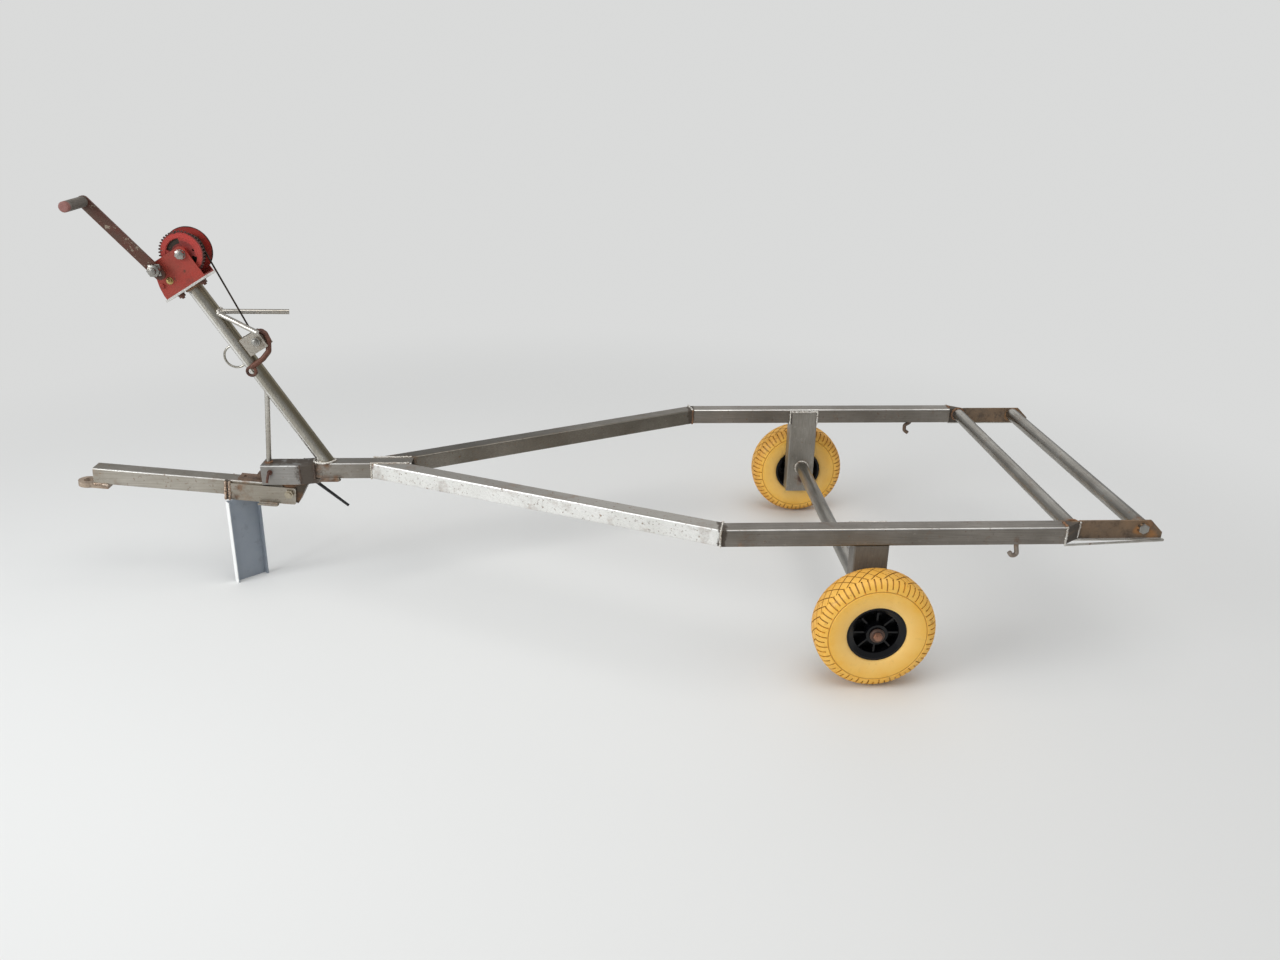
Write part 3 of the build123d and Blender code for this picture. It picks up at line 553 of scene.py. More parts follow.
# Tyre colours: what a user would change. Radii and widths are in millimetres.
tyreLook = {
    "yellow": (0.95, 0.50, 0.055),
    "faded": (0.97, 0.58, 0.12),
    # painted sheen: the wall beside the rim is paler, between the radii given below
    "rimSheen": (1.0, 0.68, 0.26),
    "tread": (0.72, 0.34, 0.055),
    "dirt": (0.20, 0.085, 0.022),
    "sheenRadii": (64, 102),          # the paler wall starts and ends at these radii
    "treadFrom": (108, 122),
    "crownHalf": (23.5, 24.5),     # the crown's crossed grooves end between these widths
    "grooveBelow": (128.4, 129.4),
    # a thin dark line of painted shade in the wall's moulded notch
    "notchShade": 104.5,                 # radius of the thin line on the wall
    "notchShadeHalf": (0.5, 1.2),
    "arcOut": 17.5,                # the shoulder is an arc about a point this far out
    "arcUp": 104.1,                # and this far from the axle
    "gapBelow": (22.6, 23.4),      # nearer to that point lies a gap between lugs
    "gapOut": (6.2, 7.2),
    "gapUp": (2.5, 4.5),
}


def tyreFinish(name):
    # yellow rubber: a painted sheen on the walls by the rim, browner tread, dark dirt in the grooves and between
    # the lugs, painted shade in the walls' notch
    f = Finish(name)

    def rise(value, limits, *to):
        return f.span(value, *inMetres(*tyreLook[limits]), *to)

    side = f.noise(26, 5, 0.6)
    scuff = f.noise(90, 5, 0.7)
    along = f.math("SUBTRACT", f.math("ABSOLUTE", f.axis("Y")), abs(axleAt.y))
    offMiddle = f.math("ABSOLUTE", along)
    reach = f.fromAxis(axleAt)
    colour = f.blend(f.span(side, 0.3, 0.7), tyreLook["yellow"], tyreLook["faded"])
    # painted sheen: the wall is paler beside the rim
    colour = f.blend(rise(reach, "sheenRadii", 0.6, 0.0), colour, tyreLook["rimSheen"])
    tread = f.times(rise(reach, "treadFrom"), f.span(along, 0.03, -0.03, 0.25, 1.0))
    colour = f.blend(f.times(tread, 0.7), colour, tyreLook["tread"])
    # the crown is rounded, so its rise is added before the grooves are told by their depth
    crown = f.plus(reach, f.times(f.times(along, along), 4.2))
    groove = f.times(rise(crown, "grooveBelow", 1.0, 0.0), rise(offMiddle, "crownHalf", 1.0, 0.0))
    # painted shade in the wall's moulded notch
    notchShade = rise(f.gap(reach, tyreLook["notchShade"] * mm), "notchShadeHalf", 0.5, 0.0)
    out = f.math("SUBTRACT", offMiddle, tyreLook["arcOut"] * mm)
    up = f.math("SUBTRACT", reach, tyreLook["arcUp"] * mm)
    fromArc = f.math("SQRT", f.plus(f.times(out, out), f.times(up, up)))
    lugGap = f.times(f.times(rise(fromArc, "gapBelow", 1.0, 0.0), rise(out, "gapOut")), rise(up, "gapUp"))
    lugGap = f.times(lugGap, f.span(side, 0.3, 0.65, 0.22, 0.68))
    grime = f.span(f.noise(70, 5, 0.7), 0.58, 0.70, 0.0, 0.8)
    grime = f.times(grime, f.span(reach, 0.10, 0.125, 0.15, 0.8))
    # the dirt colour also paints the shade in the notch
    colour = f.blend(f.most(f.times(groove, 0.85), lugGap, notchShade, grime), colour, tyreLook["dirt"])
    rough = f.span(scuff, 0.3, 0.7, 0.42, 0.62)
    return f.done(colour, rough, f.bump(f.noise(420, 3), 0.0002, 0.4), 0.0)


def plastic(name, colour, worn, shine, share=0.6, tip=None, gloss=0.5):
    # moulded plastic with scuffs; tip is (y where another colour starts, that colour)
    f = Finish(name)
    scuff = f.noise(120, 5, 0.7)
    dust = f.noise(18, 4)
    skin = f.blend(f.span(scuff, 0.62, 0.8, 0.0, share), colour, worn)
    skin = f.blend(f.span(dust, 0.5, 0.8, 0.0, share * 0.6), skin, worn)
    if tip:
        start, tipColour = tip
        skin = f.blend(f.span(f.axis("Y"), start, start - 0.003), skin, tipColour)
    rough = f.span(scuff, 0.3, 0.75, *shine)
    f.shader.inputs["Specular IOR Level"].default_value = gloss
    return f.done(skin, rough, f.bump(f.noise(260, 3), 0.0002, 0.3), 0.0)


makeCamera()
makeFloor()
makeLight()
print("camera, floor and light are in place")

# Spots with rust, burnt seams, painted highlights along edges and painted shade, from the frame's own sizes
frameAlong = Vector((math.cos(frameTilt), 0, math.sin(frameTilt)))
frameUp = Vector((-math.sin(frameTilt), 0, math.cos(frameTilt)))
barUp = Vector((math.sin(barTilt), 0, math.cos(barTilt)))
sideways = Vector(across)
angledOut = -(sideways * 0.8975 + frameAlong * 0.4409)      # square to the near angled rail
mitres = [(onFrame(mitreX, 0, middleZ), frameAlong)]
frameTop = (onFrame(0, 0, topZ), frameUp)
railEnds = [onFrame(x, y, z) for y in (-395, 395) for x, z in ((railEndX, middleZ), (303, 296))]
tongueJoints = [onFrame(x, y, 330) for y in (-20, 20) for x in (-1132, -1090, -1045)]
throat = [onFrame(-1262, -18, z) for z in (300, 318, 334)]
throat += [onFrame(postX, -18, topZ), onFrame(braceX, 0, topZ)]
throat += [onFrame(x, -27, 294) for x in (-1250, -1235, -1220)]
# mottled painted shade in the throat between saddle and tongue, and along the top by the hinge
throatShade = [onFrame(x, -22, z) for x in (-1288, -1276) for z in (332, 312, 294)]
throatShade += [onFrame(x, 4, topZ) for x in (-1360, -1330, -1300, -1275)]
lugSpots = [onFrame(x, -20, z) for x, z in ((-1330, 280), (-1310, 250), (-1325, 225), (-1345, 240))]
legSpots = [onFrame(-2, y, z) for y in (-369, 369) for z in (165, 130)]
tubeSpots = [onFrame(crossX, -378, tubeZ), onFrame(crossX, 378, tubeZ),
             onFrame(rollerX, -374, tubeZ), onFrame(rollerX, 374, tubeZ)]
plateSpots = [onFrame(x, y, z) for y in (-386, 384) for x, z in ((584, 316), (594, 324), (613, 303))]
plateBurn = [onFrame(x, y, z) for y in (-400, 384) for x in (418, 438) for z in (306, 330)]
postSide = Vector((math.cos(postLean + frameTilt), 0, math.sin(postLean + frameTilt)))
postSpots = [onPost(0, 0, 0), onPost(20, 0, 321), onPost(-17, 0, 205), onPost(0, -17, 492), onPost(12, -12, 492)]
barSpots = [onBar(-128, -25, -20), onBar(-110, -15, 21), onBar(-120, -25, 6), onBar(-52, -32, -30),
            onBar(-38, -32, -30)]
barBurn = [onBar(-147, -25, z) for z in (-24, -16, -8, 0, 8, 16, 22)]
# the prop leg's end face is painted pale as a highlight
legHighlight = (Vector((-0.8716, -0.0495, 0)), Vector((0.725, 0.688, 0)))    # plane of the prop leg's pale edge

# Finishes: what a user would change, each with its own colours
steels = {
    # the straight rails: a painted highlight along one top edge of each
    "railSteel": dict(light=(0.30, 0.275, 0.245), dark=(0.20, 0.18, 0.155), rust=0.3, welds=railEnds,
                      seams=mitres, grain=(1, 40, 40),
                      edges=[(onFrame(0, y, topZ), sideways, frameUp) for y in (-415, 375)]),
    "angledSteel": dict(light=(0.24, 0.22, 0.19), dark=(0.15, 0.135, 0.11), rust=0.35, welds=tongueJoints,
                        seams=mitres, grain=(3, 30, 40)),
    # the near angled rail: painted light, its steel nearly white as if lit from the left, with the top face kept
    # dark and a painted highlight along its outer top edge
    "brightSteel": dict(light=(0.95, 0.94, 0.91), dark=(0.80, 0.79, 0.75), rust=0.6, welds=tongueJoints,
                        seams=mitres, reach=0.025, grain=(3, 30, 40), shine=(0.24, 0.42),
                        tops=(frameTop, (0.27, 0.25, 0.22), 0.0016),
                        edges=[(onFrame(-328.4, -415, topZ), angledOut, frameUp)], metalShare=0.5),
    # tongue and saddle: a painted highlight along the top near edge, and mottled painted shade in the throat
    "throatSteel": dict(light=(0.38, 0.355, 0.32), dark=(0.26, 0.235, 0.20), rust=0.4, welds=throat,
                        grain=(1, 40, 40), edges=[(onFrame(0, -20, topZ), sideways, frameUp)],
                        scorch=throatShade, reach=0.03),
    "saddleSteel": dict(light=(0.38, 0.365, 0.345), dark=(0.29, 0.275, 0.255), rust=0.25, welds=throat,
                        grain=(1, 40, 40), edges=[(onFrame(0, -25, 332.5), sideways, frameUp)],
                        scorch=throatShade, reach=0.03),
    "lugSteel": dict(light=(0.120, 0.10, 0.08), dark=(0.065, 0.052, 0.04), rust=0.35, welds=lugSpots,
                     reach=0.03, grain=(9, 20, 9)),
    "legSteel": dict(light=(0.36, 0.34, 0.305), dark=(0.23, 0.21, 0.18), rust=0.35, welds=legSpots,
                     grain=(30, 30, 2), metalShare=0.6),
    "nearLegSteel": dict(light=(0.20, 0.18, 0.155), dark=(0.13, 0.115, 0.095), rust=0.35, grain=(30, 30, 2),
                         shine=(0.4, 0.6), metalShare=0.25),
    # the post: a painted highlight strip down its left side and a band of painted shade down its right side
    "postSteel": dict(light=(0.52, 0.50, 0.455), dark=(0.27, 0.245, 0.19), rust=0.35, welds=postSpots,
                      reach=0.03, grain=(25, 25, 3), shine=(0.20, 0.38),
                      edges=[(onPost(x, 0, 0), postSide, postSide) for x in (-11, -9)],
                      tops=((onPost(16, 0, 0), postSide), (0.17, 0.145, 0.095), 0.009)),
    "rodSteel": dict(light=(0.62, 0.60, 0.56), dark=(0.40, 0.37, 0.32), rust=0.35, grain=(3, 20, 20),
                     shine=(0.22, 0.4)),
    "tubeSteel": dict(light=(0.42, 0.405, 0.37), dark=(0.26, 0.24, 0.21), rust=0.3, welds=tubeSpots,
                      grain=(30, 1, 30), shine=(0.25, 0.42)),
    # the drawbar: a painted highlight along its top near edge
    "barSteel": dict(light=(0.50, 0.465, 0.41), dark=(0.36, 0.325, 0.27), rust=0.45, welds=barSpots,
                     grain=(1, 40, 40), edges=[(onBar(0, -20, 21.4), sideways, barUp)], scorch=barBurn,
                     burnReach=0.013, reach=0.022),
    "hookSteel": dict(light=(0.62, 0.57, 0.50), dark=(0.16, 0.125, 0.095), rust=1.6, grain=(20, 20, 20),
                      shine=(0.2, 0.4)),
    "plateWhite": dict(light=(0.82, 0.81, 0.78), dark=(0.62, 0.60, 0.56), grain=(30, 30, 30), shine=(0.3, 0.45)),
    "zinc": dict(light=(0.42, 0.41, 0.38), dark=(0.25, 0.235, 0.21), rust=0.4, grain=(30, 30, 30),
                 shine=(0.25, 0.42)),
    "wire": dict(light=(0.075, 0.062, 0.052), dark=(0.035, 0.03, 0.026), rust=0.5, grain=(60, 60, 60),
                 shine=(0.45, 0.65)),
    "brightWeld": dict(light=(0.86, 0.84, 0.80), dark=(0.55, 0.50, 0.43), rust=0.6, grain=(20, 20, 20),
                       shine=(0.25, 0.45)),
    "copperWeld": dict(light=(0.88, 0.80, 0.71), dark=(0.42, 0.29, 0.20), rust=0.95, grain=(20, 20, 20),
                       shine=(0.2, 0.4)),
    "paleBrass": dict(light=(0.60, 0.54, 0.42), dark=(0.42, 0.37, 0.28), rust=0.4, grain=(20, 20, 20),
                      shine=(0.3, 0.45)),
    "brass": dict(light=(0.55, 0.42, 0.17), dark=(0.38, 0.28, 0.12), grain=(20, 20, 20), shine=(0.25, 0.4)),
}
rusts = {
    "ochreRust": dict(light=(0.235, 0.150, 0.086), dark=(0.150, 0.108, 0.074), deep=(0.055, 0.038, 0.027),
                      welds=plateSpots, reach=0.024, scorch=plateBurn),
    "latchRust": dict(light=(0.27, 0.17, 0.12), dark=(0.12, 0.075, 0.05), deep=(0.04, 0.026, 0.018),
                      shine=(0.45, 0.75)),
    "eyeRust": dict(light=(0.42, 0.33, 0.25), dark=(0.21, 0.14, 0.095), deep=(0.08, 0.045, 0.03),
                    shine=(0.35, 0.6)),
    "darkHook": dict(light=(0.20, 0.13, 0.09), dark=(0.11, 0.07, 0.045), deep=(0.04, 0.025, 0.018),
                     shine=(0.35, 0.6)),
    "darkRust": dict(light=(0.15, 0.055, 0.032), dark=(0.085, 0.032, 0.020), deep=(0.035, 0.018, 0.013),
                     shine=(0.42, 0.7)),
    "capRust": dict(light=(0.12, 0.065, 0.045), dark=(0.075, 0.042, 0.03), deep=(0.035, 0.02, 0.015),
                    shine=(0.4, 0.7)),
    "nutRust": dict(light=(0.36, 0.17, 0.10), dark=(0.22, 0.10, 0.06), deep=(0.07, 0.035, 0.022),
                    shine=(0.3, 0.6)),
    "rustyWeld": dict(light=(0.30, 0.15, 0.07), dark=(0.15, 0.075, 0.04), deep=(0.05, 0.028, 0.018),
                      shine=(0.4, 0.7)),
    "burntWeld": dict(light=(0.10, 0.065, 0.045), dark=(0.06, 0.04, 0.028), deep=(0.03, 0.02, 0.015),
                      shine=(0.3, 0.6)),
}
paints = {
    "redPaint": dict(colour=(0.35, 0.036, 0.024), worn=(0.27, 0.050, 0.034), bare=(0.12, 0.05, 0.035), wear=0.45),
    "drumRed": dict(colour=(0.36, 0.028, 0.020), worn=(0.26, 0.028, 0.020), bare=(0.12, 0.05, 0.035),
                    greasy=(drumSpin, 50.8, 52.4)),
    # the gear: grease near the teeth, and a dark ring of grease and painted shade on the web
    "gearGrease": dict(colour=(0.43, 0.042, 0.034), worn=(0.33, 0.046, 0.034), bare=(0.07, 0.035, 0.025),
                       wear=0.5, greasy=(drumSpin, 43.5, 47.0), ring=(15, 31)),
    # the crank arm: its colours darkened as painted shade for the dim light about the winch
    "armMetal": dict(colour=(0.105, 0.028, 0.019), worn=(0.070, 0.042, 0.028), bare=(0.26, 0.21, 0.16),
                     wear=0.6, shine=(0.3, 0.5)),
    # the prop leg: its end face painted pale as a highlight
    "legPaint": dict(colour=(0.250, 0.285, 0.330), worn=(0.280, 0.310, 0.350), bare=(0.30, 0.32, 0.34),
                     wear=0.0, shine=(0.35, 0.5), dirt=(0.17, 0.18, 0.19),
                     cutFace=(*legHighlight, (0.93, 0.93, 0.91))),
}
plastics = {
    "gripPlastic": dict(colour=(0.130, 0.112, 0.094), worn=(0.25, 0.215, 0.18), shine=(0.45, 0.7),
                        tip=(-0.126, (0.23, 0.095, 0.080))),
    "leverBlack": dict(colour=(0.012, 0.012, 0.012), worn=(0.06, 0.055, 0.05), shine=(0.3, 0.5)),
    "rimBlack": dict(colour=(0.003, 0.003, 0.004), worn=(0.012, 0.011, 0.010), shine=(0.16, 0.30), share=0.3,
                     gloss=0.28),
}
finishes = {"tyreYellow": tyreFinish("tyreYellow")}
for make, looks in ((steel, steels), (rusted, rusts), (painted, paints), (plastic, plastics)):
    for name, look in looks.items():
        finishes[name] = make(name, **look)

# Which finish the pieces of the solids wear
wornBy = {
    "railSteel": ["rail_left", "rail_right"],
    "brightSteel": ["angled_rail_left"],
    "angledSteel": ["angled_rail_right"],
    "throatSteel": ["tongue"],
    "saddleSteel": ["saddle_box"],
    "lugSteel": ["hinge_lug"],
    "barSteel": ["drawbar_tube", "drawbar_cheek_left", "drawbar_cheek_right", "hook_bracket"],
    "paleBrass": ["hinge_bolt"],
    "eyeRust": ["hitch_eye"],
    "latchRust": ["latch_plate"],
    "legPaint": ["prop_leg"],
    "rodSteel": ["post_brace", "bow_rod_left", "bow_rod_right", "strap_loop_left", "strap_loop_right"],
    "postSteel": ["winch_post"],
    "plateWhite": ["winch_plate"],
    "redPaint": ["winch_frame"],
    "gearGrease": ["winch_gear"],
    "drumRed": ["winch_drum"],
    "wire": ["cable_coil", "winch_cable"],
    "zinc": ["crank_shaft"],
    "armMetal": ["crank_arm"],
    "gripPlastic": ["crank_grip"],
    "darkRust": ["winch_hook", "lock_pin"],
    "leverBlack": ["release_lever"],
    "nearLegSteel": ["axle_leg_left"],
    "legSteel": ["axle_leg_right"],
    "tubeSteel": ["axle_tube", "cross_tube", "rear_roller"],
    "capRust": ["stub_axle_left", "stub_axle_right"],
    "tyreYellow": ["tyre_left", "tyre_right"],
    "rimBlack": ["rim_left", "rim_right"],
    "ochreRust": ["rear_plate_left", "rear_plate_right"],
    "hookSteel": ["rail_hook_left"],
    "darkHook": ["rail_hook_right"],
}
for finishName, nodeNames in wornBy.items():
    for nodeName in nodeNames:
        mesh = nodes[nodeName].data
        mesh.materials.clear()
        mesh.materials.append(finishes[finishName])
print("every CAD piece has its finish")

# Tyre: what a user would change. The outline runs from the middle of the tread to the bead.
tyre = {
    "outline": [(0, 130), (8, 129.8), (16, 129.2), (24, 127.6), (30, 124.9), (34.5, 121.6),
                (38, 117.3), (40.4, 112), (41.8, 106.4), (40.5, 105.3), (40.5, 103.9), (42.1, 102.8),
                (42.5, 96), (42.2, 89), (41.4, 82), (40, 74), (38.2, 67.5), (36, 64.6),
                (33, 63.5), (27, 63.5), (23, 56.5)],
    "repeats": 30,         # sectors round the tread, each with two shoulder lugs a side
    "steps": 8,            # faces round one sector
    "lugGaps": {1: 107.5, 5: 114},      # these steps are gaps between lugs, from this radius outward
    "treadFrom": 120,
    "grooveWidth": 2.6,
    "grooveDepth": 2.0,
    "lugDepth": 3.0,
    "crownHalf": 24,       # the crossed grooves reach this far from the middle
}


def makeTyre(name, place):
    half = tyre["outline"]
    loop = half + [(-along, radius) for along, radius in reversed(half)]
    sector = 2 * math.pi / tyre["repeats"]
    piece = drawProfile(name, [(radius, along, 0) for along, radius in loop])
    editAll(piece)
    bpy.ops.mesh.spin(steps=tyre["steps"], angle=sector, center=(0, 0, 0), axis=across)
    bpy.ops.mesh.select_all(action="SELECT")
    bpy.ops.mesh.remove_doubles(threshold=0.00002)
    bpy.ops.mesh.normals_make_consistent(inside=False)
    leaveEdit()

    def turnOf(point):
        return math.atan2(point.z, point.x)

    def crown(face):
        return abs(face.center.y) < tyre["crownHalf"] * mm and face.center.xz.length > tyre["treadFrom"] * mm

    top = max(piece.data.polygons, key=lambda face: face.center.xz.length)
    if top.normal.xz.dot(top.center.xz) < 0:
        editAll(piece)
        bpy.ops.mesh.flip_normals()
        leaveEdit()
    turns = [turnOf(v.co) for v in piece.data.vertices]
    start, stop = min(turns), max(turns)
    lines = []
    for side in (-1, 1):
        for step in (-1, 0, 1):
            a = (start + stop) / 2 + step * sector
            spoke = Vector((math.cos(a), 0, math.sin(a)))
            slant = (Vector((-math.sin(a), 0, math.cos(a))) + side * Vector(across)).normalized()
            lines.append((spoke * half[0][1] * mm, slant))
    halfGroove = tyre["grooveWidth"] / 2 * mm
    for middle, slant in lines:
        for edge in (-halfGroove, halfGroove):
            editFaces(piece, crown)
            bpy.ops.mesh.bisect(plane_co=middle + slant * edge, plane_no=slant)
            leaveEdit()

    def inGroove(face):
        return crown(face) and any(abs((face.center - middle).dot(slant)) < halfGroove for middle, slant in lines)

    def betweenLugs(face):
        step = int((turnOf(face.center) - start) / sector * tyre["steps"])
        if step not in tyre["lugGaps"]:
            return False
        lowest = tyre["lugGaps"][step] * mm
        return abs(face.center.y) > tyre["crownHalf"] * mm and face.center.xz.length > lowest

    for test, depth in ((inGroove, tyre["grooveDepth"]), (betweenLugs, tyre["lugDepth"])):
        editFaces(piece, test)
        bpy.ops.mesh.extrude_region_shrink_fatten(TRANSFORM_OT_shrink_fatten={"value": -depth * mm})
        leaveEdit()

    def atEnd(face):
        points = [turnOf(piece.data.vertices[i].co) for i in face.vertices]
        return all(p - start < 0.001 for p in points) or all(stop - p < 0.001 for p in points)

    editFaces(piece, atEnd)
    bpy.ops.mesh.delete(type="ONLY_FACE")
    bpy.ops.mesh.select_all(action="SELECT")
    bpy.ops.mesh.spin(steps=tyre["repeats"] - 1, dupli=True, angle=2 * math.pi - sector,
                      center=(0, 0, 0), axis=across)
    bpy.ops.mesh.select_all(action="SELECT")
    bpy.ops.mesh.remove_doubles(threshold=0.00003)
    bpy.ops.mesh.normals_make_consistent(inside=False)
    leaveEdit()
    piece.location = place
    settle(piece, 30)
    return piece


tyreLeft = makeTyre("tyreLeft", axleAt)
tyreRight = copyOf(tyreLeft, "tyreRight")
tyreRight.location = jointAt["wheel_right_spin"] - axleAt
settle(tyreRight, 30)
dress(tyreLeft, "tyreYellow", "wheel_left", "yellow_tyre", "tyre_left")
dress(tyreRight, "tyreYellow", "wheel_right", "yellow_tyre", "tyre_right")
print("tyres with their tread are made")

# Cable on the drum: what a user would change
wraps = {
    "wire": 4.0,
    "core": 34.4,          # radius under the top layer
    "from": -17.8,         # side of the gear
    "to": 19.8,            # side of the far flange
    "hub": 19,
    "steps": 30,           # round each turn
    "loose": 9.5,          # pitch of the few loose turns on top
}


def makeHelix(radius, start, pitch, turns, lean):
    deselectAll()
    bpy.ops.mesh.primitive_circle_add(vertices=8, radius=wraps["wire"] / 2 * mm,
                                      location=(radius * mm, start * mm, 0))
    piece = bpy.context.active_object
    bpy.ops.object.transform_apply(location=True)
    m = piece.modifiers.new("wrap", "SCREW")
    m.axis = "Y"
    m.screw_offset = pitch * mm
    m.iterations = turns
    m.steps = m.render_steps = wraps["steps"]
    applyModifiers(piece)
    piece.rotation_euler = (0, lean, 0)
    return piece


def makeWraps():
    room = wraps["to"] - wraps["from"] - wraps["wire"]
    turns = int(room / wraps["wire"]) + 1
    tight = makeHelix(wraps["core"] + 1.6, wraps["from"] + 2, room / turns, turns, 0.4)
    loose = makeHelix(wraps["core"] + 4.4, wraps["from"] + 5, wraps["loose"], 3, 2.1)
    core = turnedPiece("core", [(wraps["from"], wraps["hub"]), (wraps["from"], wraps["core"]),
                                (wraps["to"], wraps["core"]), (wraps["to"], wraps["hub"])])
    piece = joined("cableWraps", [core, tight, loose])
    editAll(piece)
    bpy.ops.mesh.remove_doubles(threshold=0.00001)
    bpy.ops.mesh.normals_make_consistent(inside=False)
    leaveEdit()
    piece.location = drumSpin
    settle(piece, 50)
    dress(piece, "wire", "drum", "cable_wire", "cable_coil")


makeWraps()

# Crank grip: what a user would change. Lengths run away from the crank arm.
grip = {
    "pin": 5.9,
    "neck": 8.2,           # from the arm's inner face to the sleeve
    "length": 88,
    "crest": 11.4,
    "valley": 9.9,
    "pitch": 4.4,
    "smoothEnd": 11,       # reddish end without ribs
}


def makeGrip():
    low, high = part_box("crank_grip")
    centre = (Vector(low) + Vector(high)) / 2
    first = grip["neck"] + 3
    last = grip["neck"] + grip["length"] - grip["smoothEnd"]
    count = int((last - first) / grip["pitch"])
    outline = [(0, 0), (0, grip["pin"]), (-grip["neck"], grip["pin"]), (-grip["neck"], grip["valley"]),
               (-grip["neck"] - 1, grip["crest"]), (-first + 0.6, grip["crest"])]
    for rib in range(count):
        a = -first - rib * grip["pitch"]
        outline += [(a, grip["valley"]), (a - 1.4, grip["valley"]),
                    (a - 2.0, grip["crest"]), (a - grip["pitch"] + 0.6, grip["crest"])]
    tip = -grip["neck"] - grip["length"]
    outline += [(tip + 3, grip["crest"] - 0.2), (tip + 0.8, grip["crest"] - 1.4), (tip, grip["crest"] - 4),
                (tip + 0.6, 4), (tip + 0.6, 0)]
    piece = turnedPiece("ribbedGrip", outline, 28)
    piece.location = (centre.x, high[1], centre.z)
    settle(piece, 28)
    dress(piece, "gripPlastic", "crank", "grip_plastic", "crank_grip")


makeGrip()
print("cable wraps and grip are made")


def roundBar(vertices, radius, length, front, twist=0.0):
    # a cylinder along Y, from the given distance in front of the origin
    deselectAll()
    bpy.ops.mesh.primitive_cylinder_add(vertices=vertices, radius=radius * mm, depth=length * mm,
                                        location=(0, -(front + length / 2) * mm, 0),
                                        rotation=(math.pi / 2, twist, 0))
    piece = bpy.context.active_object
    bpy.ops.object.transform_apply(location=True, rotation=True, scale=True)
    return piece


def makeBolt(name, place, size, height, washer=None, stud=None, square=False, turn=0.0, facing="near"):
    # a hexagon on its washer, made along -Y and then turned; it faces near, far or down the post
    thick = washer[1] if washer else 0
    head = roundBar(6, size / math.sqrt(3), height, thick)
    editFaces(head, lambda face: face.center.y < -(thick + height * 0.9) * mm)
    bpy.ops.mesh.inset(thickness=size * 0.09 * mm, depth=height * 0.12 * mm)
    leaveEdit()
    parts = [head]
    if washer:
        plate = roundBar(4 if square else 28, washer[0], thick, 0, 0.2)
        bevelEdges(plate, washer[0] * 0.28 if square else 0.5, 3)
        parts.append(plate)
    if stud:
        end = roundBar(20, stud[0], stud[1], thick + height * 1.1 - 0.5)
        bevelEdges(end, stud[0] * 0.2, 2)
        parts.append(end)
    piece = joined(name, parts)
    turned = {"near": (0, turn, 0), "far": (0, turn, math.pi), "down": (math.pi / 2, -postLean - frameTilt, 0)}
    piece.rotation_euler = turned[facing]
    piece.location = place
    settle(piece, 30)
    return piece


# Weld beads: rows of small overlapping blobs. What a user would change is the blob and its step.
weld = {
    "radius": 3.3,
    "step": 2.8,
    "wander": 0.55,        # how far a blob strays from its line
    "rough": 0.16,         # how far its points stray, as a share of its radius
}
shuffle = random.Random(11)


def beadLine(*corners):
    # evenly stepped points along the straight runs between the corners
    points = []
    for a, b in zip(corners, corners[1:]):
        count = max(1, round((b - a).length / (weld["step"] * mm)))
        points += [a.lerp(b, i / count) for i in range(count + 1)]
    return points


def beadRing(placeOf, radiusX, radiusY, share=1.0, start=0.0):
    # points round an ellipse; placeOf turns two plane coordinates into a place
    count = max(6, round(2 * math.pi * share * (radiusX + radiusY) / 2 / weld["step"]))
    turns = [start + 2 * math.pi * share * i / count for i in range(count)]
    return [placeOf(radiusX * math.cos(t), radiusY * math.sin(t)) for t in turns]


def makeBeads(name, points, finish, body, slot, radius=None):
    size = (radius or weld["radius"]) * mm
    deselectAll()
    bpy.ops.mesh.primitive_uv_sphere_add(segments=8, ring_count=6, radius=size)
    blob = bpy.context.active_object
    editAll(blob)
    bpy.ops.transform.vertex_random(offset=size * weld["rough"], seed=3)
    leaveEdit()
    blobs = [blob]
    for i, point in enumerate(points):
        twin = blob if i == 0 else copyOf(blob, "blob")
        wander = Vector([shuffle.uniform(-1, 1) for axis in "xyz"]) * weld["wander"] * mm
        twin.location = point + wander
        twin.rotation_euler = [shuffle.uniform(0, 6.3) for axis in "xyz"]
        twin.scale = [shuffle.uniform(0.8, 1.15)] * 3
        if i:
            blobs.append(twin)
    piece = joined(name, blobs)
    settle(piece, 70)
    dress(piece, finish, body, slot)


def bothSides(*runs):
    # the same beads on the near and the far side of the frame, along runs of (x, y, z) corners
    points = []
    for side in (-1, 1):
        for run in runs:
            points += beadLine(*[onFrame(x, y * side, z) for x, y, z in run])
    return points


def ringAt(x, y, z, radius):
    # beads round a tube that runs across the frame
    return beadRing(lambda a, b: onFrame(x + a, y, z + b), radius, radius)


rustySeams = bothSides(
    [(-319.6, 374.6, 335), (-319.6, 374.6, 297)],        # inner corner of the mitres
    [(-1348, 20, 283.5), (-1298, 20, 283.5)],            # hinge lug under the saddle
    [(411, 408, 335.4), (411, 388, 335.8)],              # rails on their rear plates
)
for side in (-1, 1):
    rustySeams += ringAt(crossX, 378.6 * side, tubeZ + 0.5, 16.6)
    rustySeams += beadLine(onPost(17.2, 12 * side, 301), onPost(17.2, 12 * side, 342))
rustySeams += beadRing(lambda a, b: onPost(a, b, 492.5), 18, 18)
rustySeams += beadRing(lambda a, b: onFrame(braceX + a, b, 333), 6.8, 6.8)
makeBeads("rustyWelds", rustySeams, "rustyWeld", "chassis", "rusty_steel")

burntSeams = bothSides([(-1301.5, 23.5, 330), (-1301.5, 23.5, 288)], [(-1268, 20.5, 331), (-1268, 20.5, 298)],
                       [(-1266.5, 12, 335.5), (-1266.5, 0, 335.5)])
makeBeads("burntWelds", burntSeams, "burntWeld", "chassis", "dark_rusty_steel", 3.0)

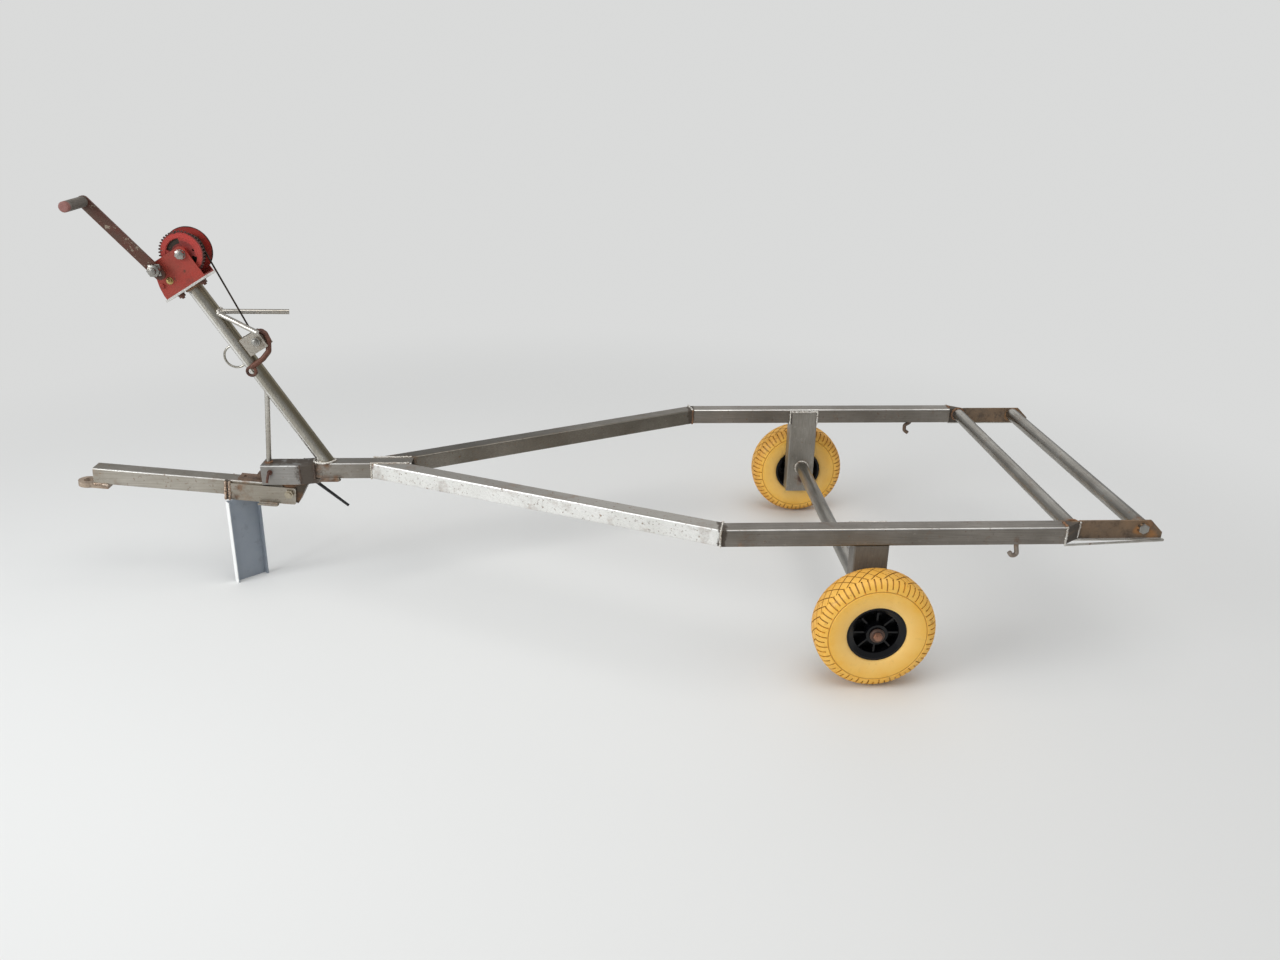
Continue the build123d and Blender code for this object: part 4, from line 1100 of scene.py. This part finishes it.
brightSeams = bothSides(
    [(-328.4, 415.2, 297), (-328.4, 415.2, 335.8), (-319.6, 375, 336)],
    [(-44, 368.8, 297), (-44, 368.8, 331), (32, 368.8, 331), (32, 368.8, 297)],
    [(-1132.5, 20.5, 297), (-1131, 20.3, 336.2), (-1042, 20.3, 336.2)],
    [(409.5, 415.4, 297), (409.5, 415.4, 335.4)],
    [(451, 385.2, 334), (449, 385.2, 299)],
)
for side in (-1, 1):
    brightSeams += ringAt(-2, 368.2 * side, 165, 18)
    brightSeams += beadRing(lambda a, b: onPost(15.2, 10 * side + a, 417 + b), 6.6, 6.6)
brightSeams += beadRing(lambda a, b: onFrame(postX + a, b, topZ + 0.4), 21.2, 18.3)
brightSeams += beadRing(lambda a, b: onFrame(-1246 + a, b - 2, 337.5), 24, 20.5, 0.55, math.pi * 0.9)
makeBeads("brightWelds", brightSeams, "brightWeld", "chassis", "bright_steel", 2.7)

barSeams = []
for x, y in ((-152, -24.6), (-142.4, -24.6), (-147, 24.6)):
    barSeams += beadLine(onBar(x, y, -27), onBar(x, y, 16))
barSeams += beadLine(onBar(-463, -18, -19.6), onBar(-432, -19.4, -19.6))
barSeams += beadLine(onBar(-463, 18, -19.6), onBar(-432, 19.4, -19.6))
makeBeads("drawbarWelds", barSeams, "copperWeld", "drawbar", "bright_steel", 3.5)
print("weld beads are made")

# Bolts and nuts: what a user would change. In millimetres, size is across the flats, washer is (radius,
# thickness) and stud is (radius, length); look is (finish, body, slot).
bolts = {
    "crankWasher": dict(place=crankSpin + Vector((0, -0.049, 0)), size=24.6, height=8.6, washer=(18.5, 2.2),
                        stud=(7.2, 6), square=True, turn=0.5, look=("zinc", "crank", "bright_steel")),
    "drumWasher": dict(place=drumSpin + Vector((0, -0.031, 0)), size=18.4, height=7.2, washer=(11.2, 1.0),
                       turn=0.3, look=("zinc", "chassis", "bright_steel")),
    "shaftEnd": dict(place=crankSpin + Vector((0, -0.0595, 0)), size=13, height=2.6, turn=0.2,
                     look=("redPaint", "crank", "winch_paint")),
    "plateBoltFront": dict(place=onWinch(-27, -20, 0), size=13, height=6, washer=(9, 1.5), stud=(3.6, 4),
                           facing="down", look=("darkRust", "chassis", "dark_rusty_steel")),
    "plateBoltRear": dict(place=onWinch(34, -20, 0), size=13, height=6, washer=(9, 1.5), stud=(3.6, 4),
                          facing="down", look=("darkRust", "chassis", "dark_rusty_steel")),
    "rollerBoltNear": dict(place=onFrame(rollerX, -384.5, tubeZ + 0.5), size=20.6, height=9.5, turn=-frameTilt,
                           look=("zinc", "chassis", "fasteners")),
    "rollerBoltFar": dict(place=onFrame(rollerX, 384.5, tubeZ + 0.5), size=20.6, height=9.5, turn=-frameTilt,
                          facing="far", look=("zinc", "chassis", "fasteners")),
    "brassBolt": dict(place=onWinch(-24, -31, 35), size=11, height=4.5, washer=(8, 1.2), stud=(3, 3), turn=0.7,
                      look=("brass", "chassis", "bright_steel")),
    "redBolt": dict(place=onWinch(-44.6, -31, 34), size=9, height=4, turn=0.2,
                    look=("redPaint", "chassis", "winch_paint")),
    "capNutLeft": dict(place=axleAt + Vector((0, -0.0419, 0)), size=17, height=4.5, stud=(5, 2.5), turn=0.4,
                       look=("nutRust", "chassis", "rusty_steel")),
    "capNutRight": dict(place=jointAt["wheel_right_spin"] + Vector((0, 0.0419, 0)), size=17, height=4.5,
                        stud=(5, 2.5), turn=0.4, facing="far", look=("nutRust", "chassis", "rusty_steel")),
    "bracketWasher": dict(place=onPost(49.1, -27, 321.5), size=13, height=5, washer=(10, 1.4), stud=(5, 4),
                          turn=0.1, look=("zinc", "chassis", "bright_steel")),
}
for name, bolt in bolts.items():
    look = bolt.pop("look")
    dress(makeBolt(name, **bolt), *look)
print("bolts are made")
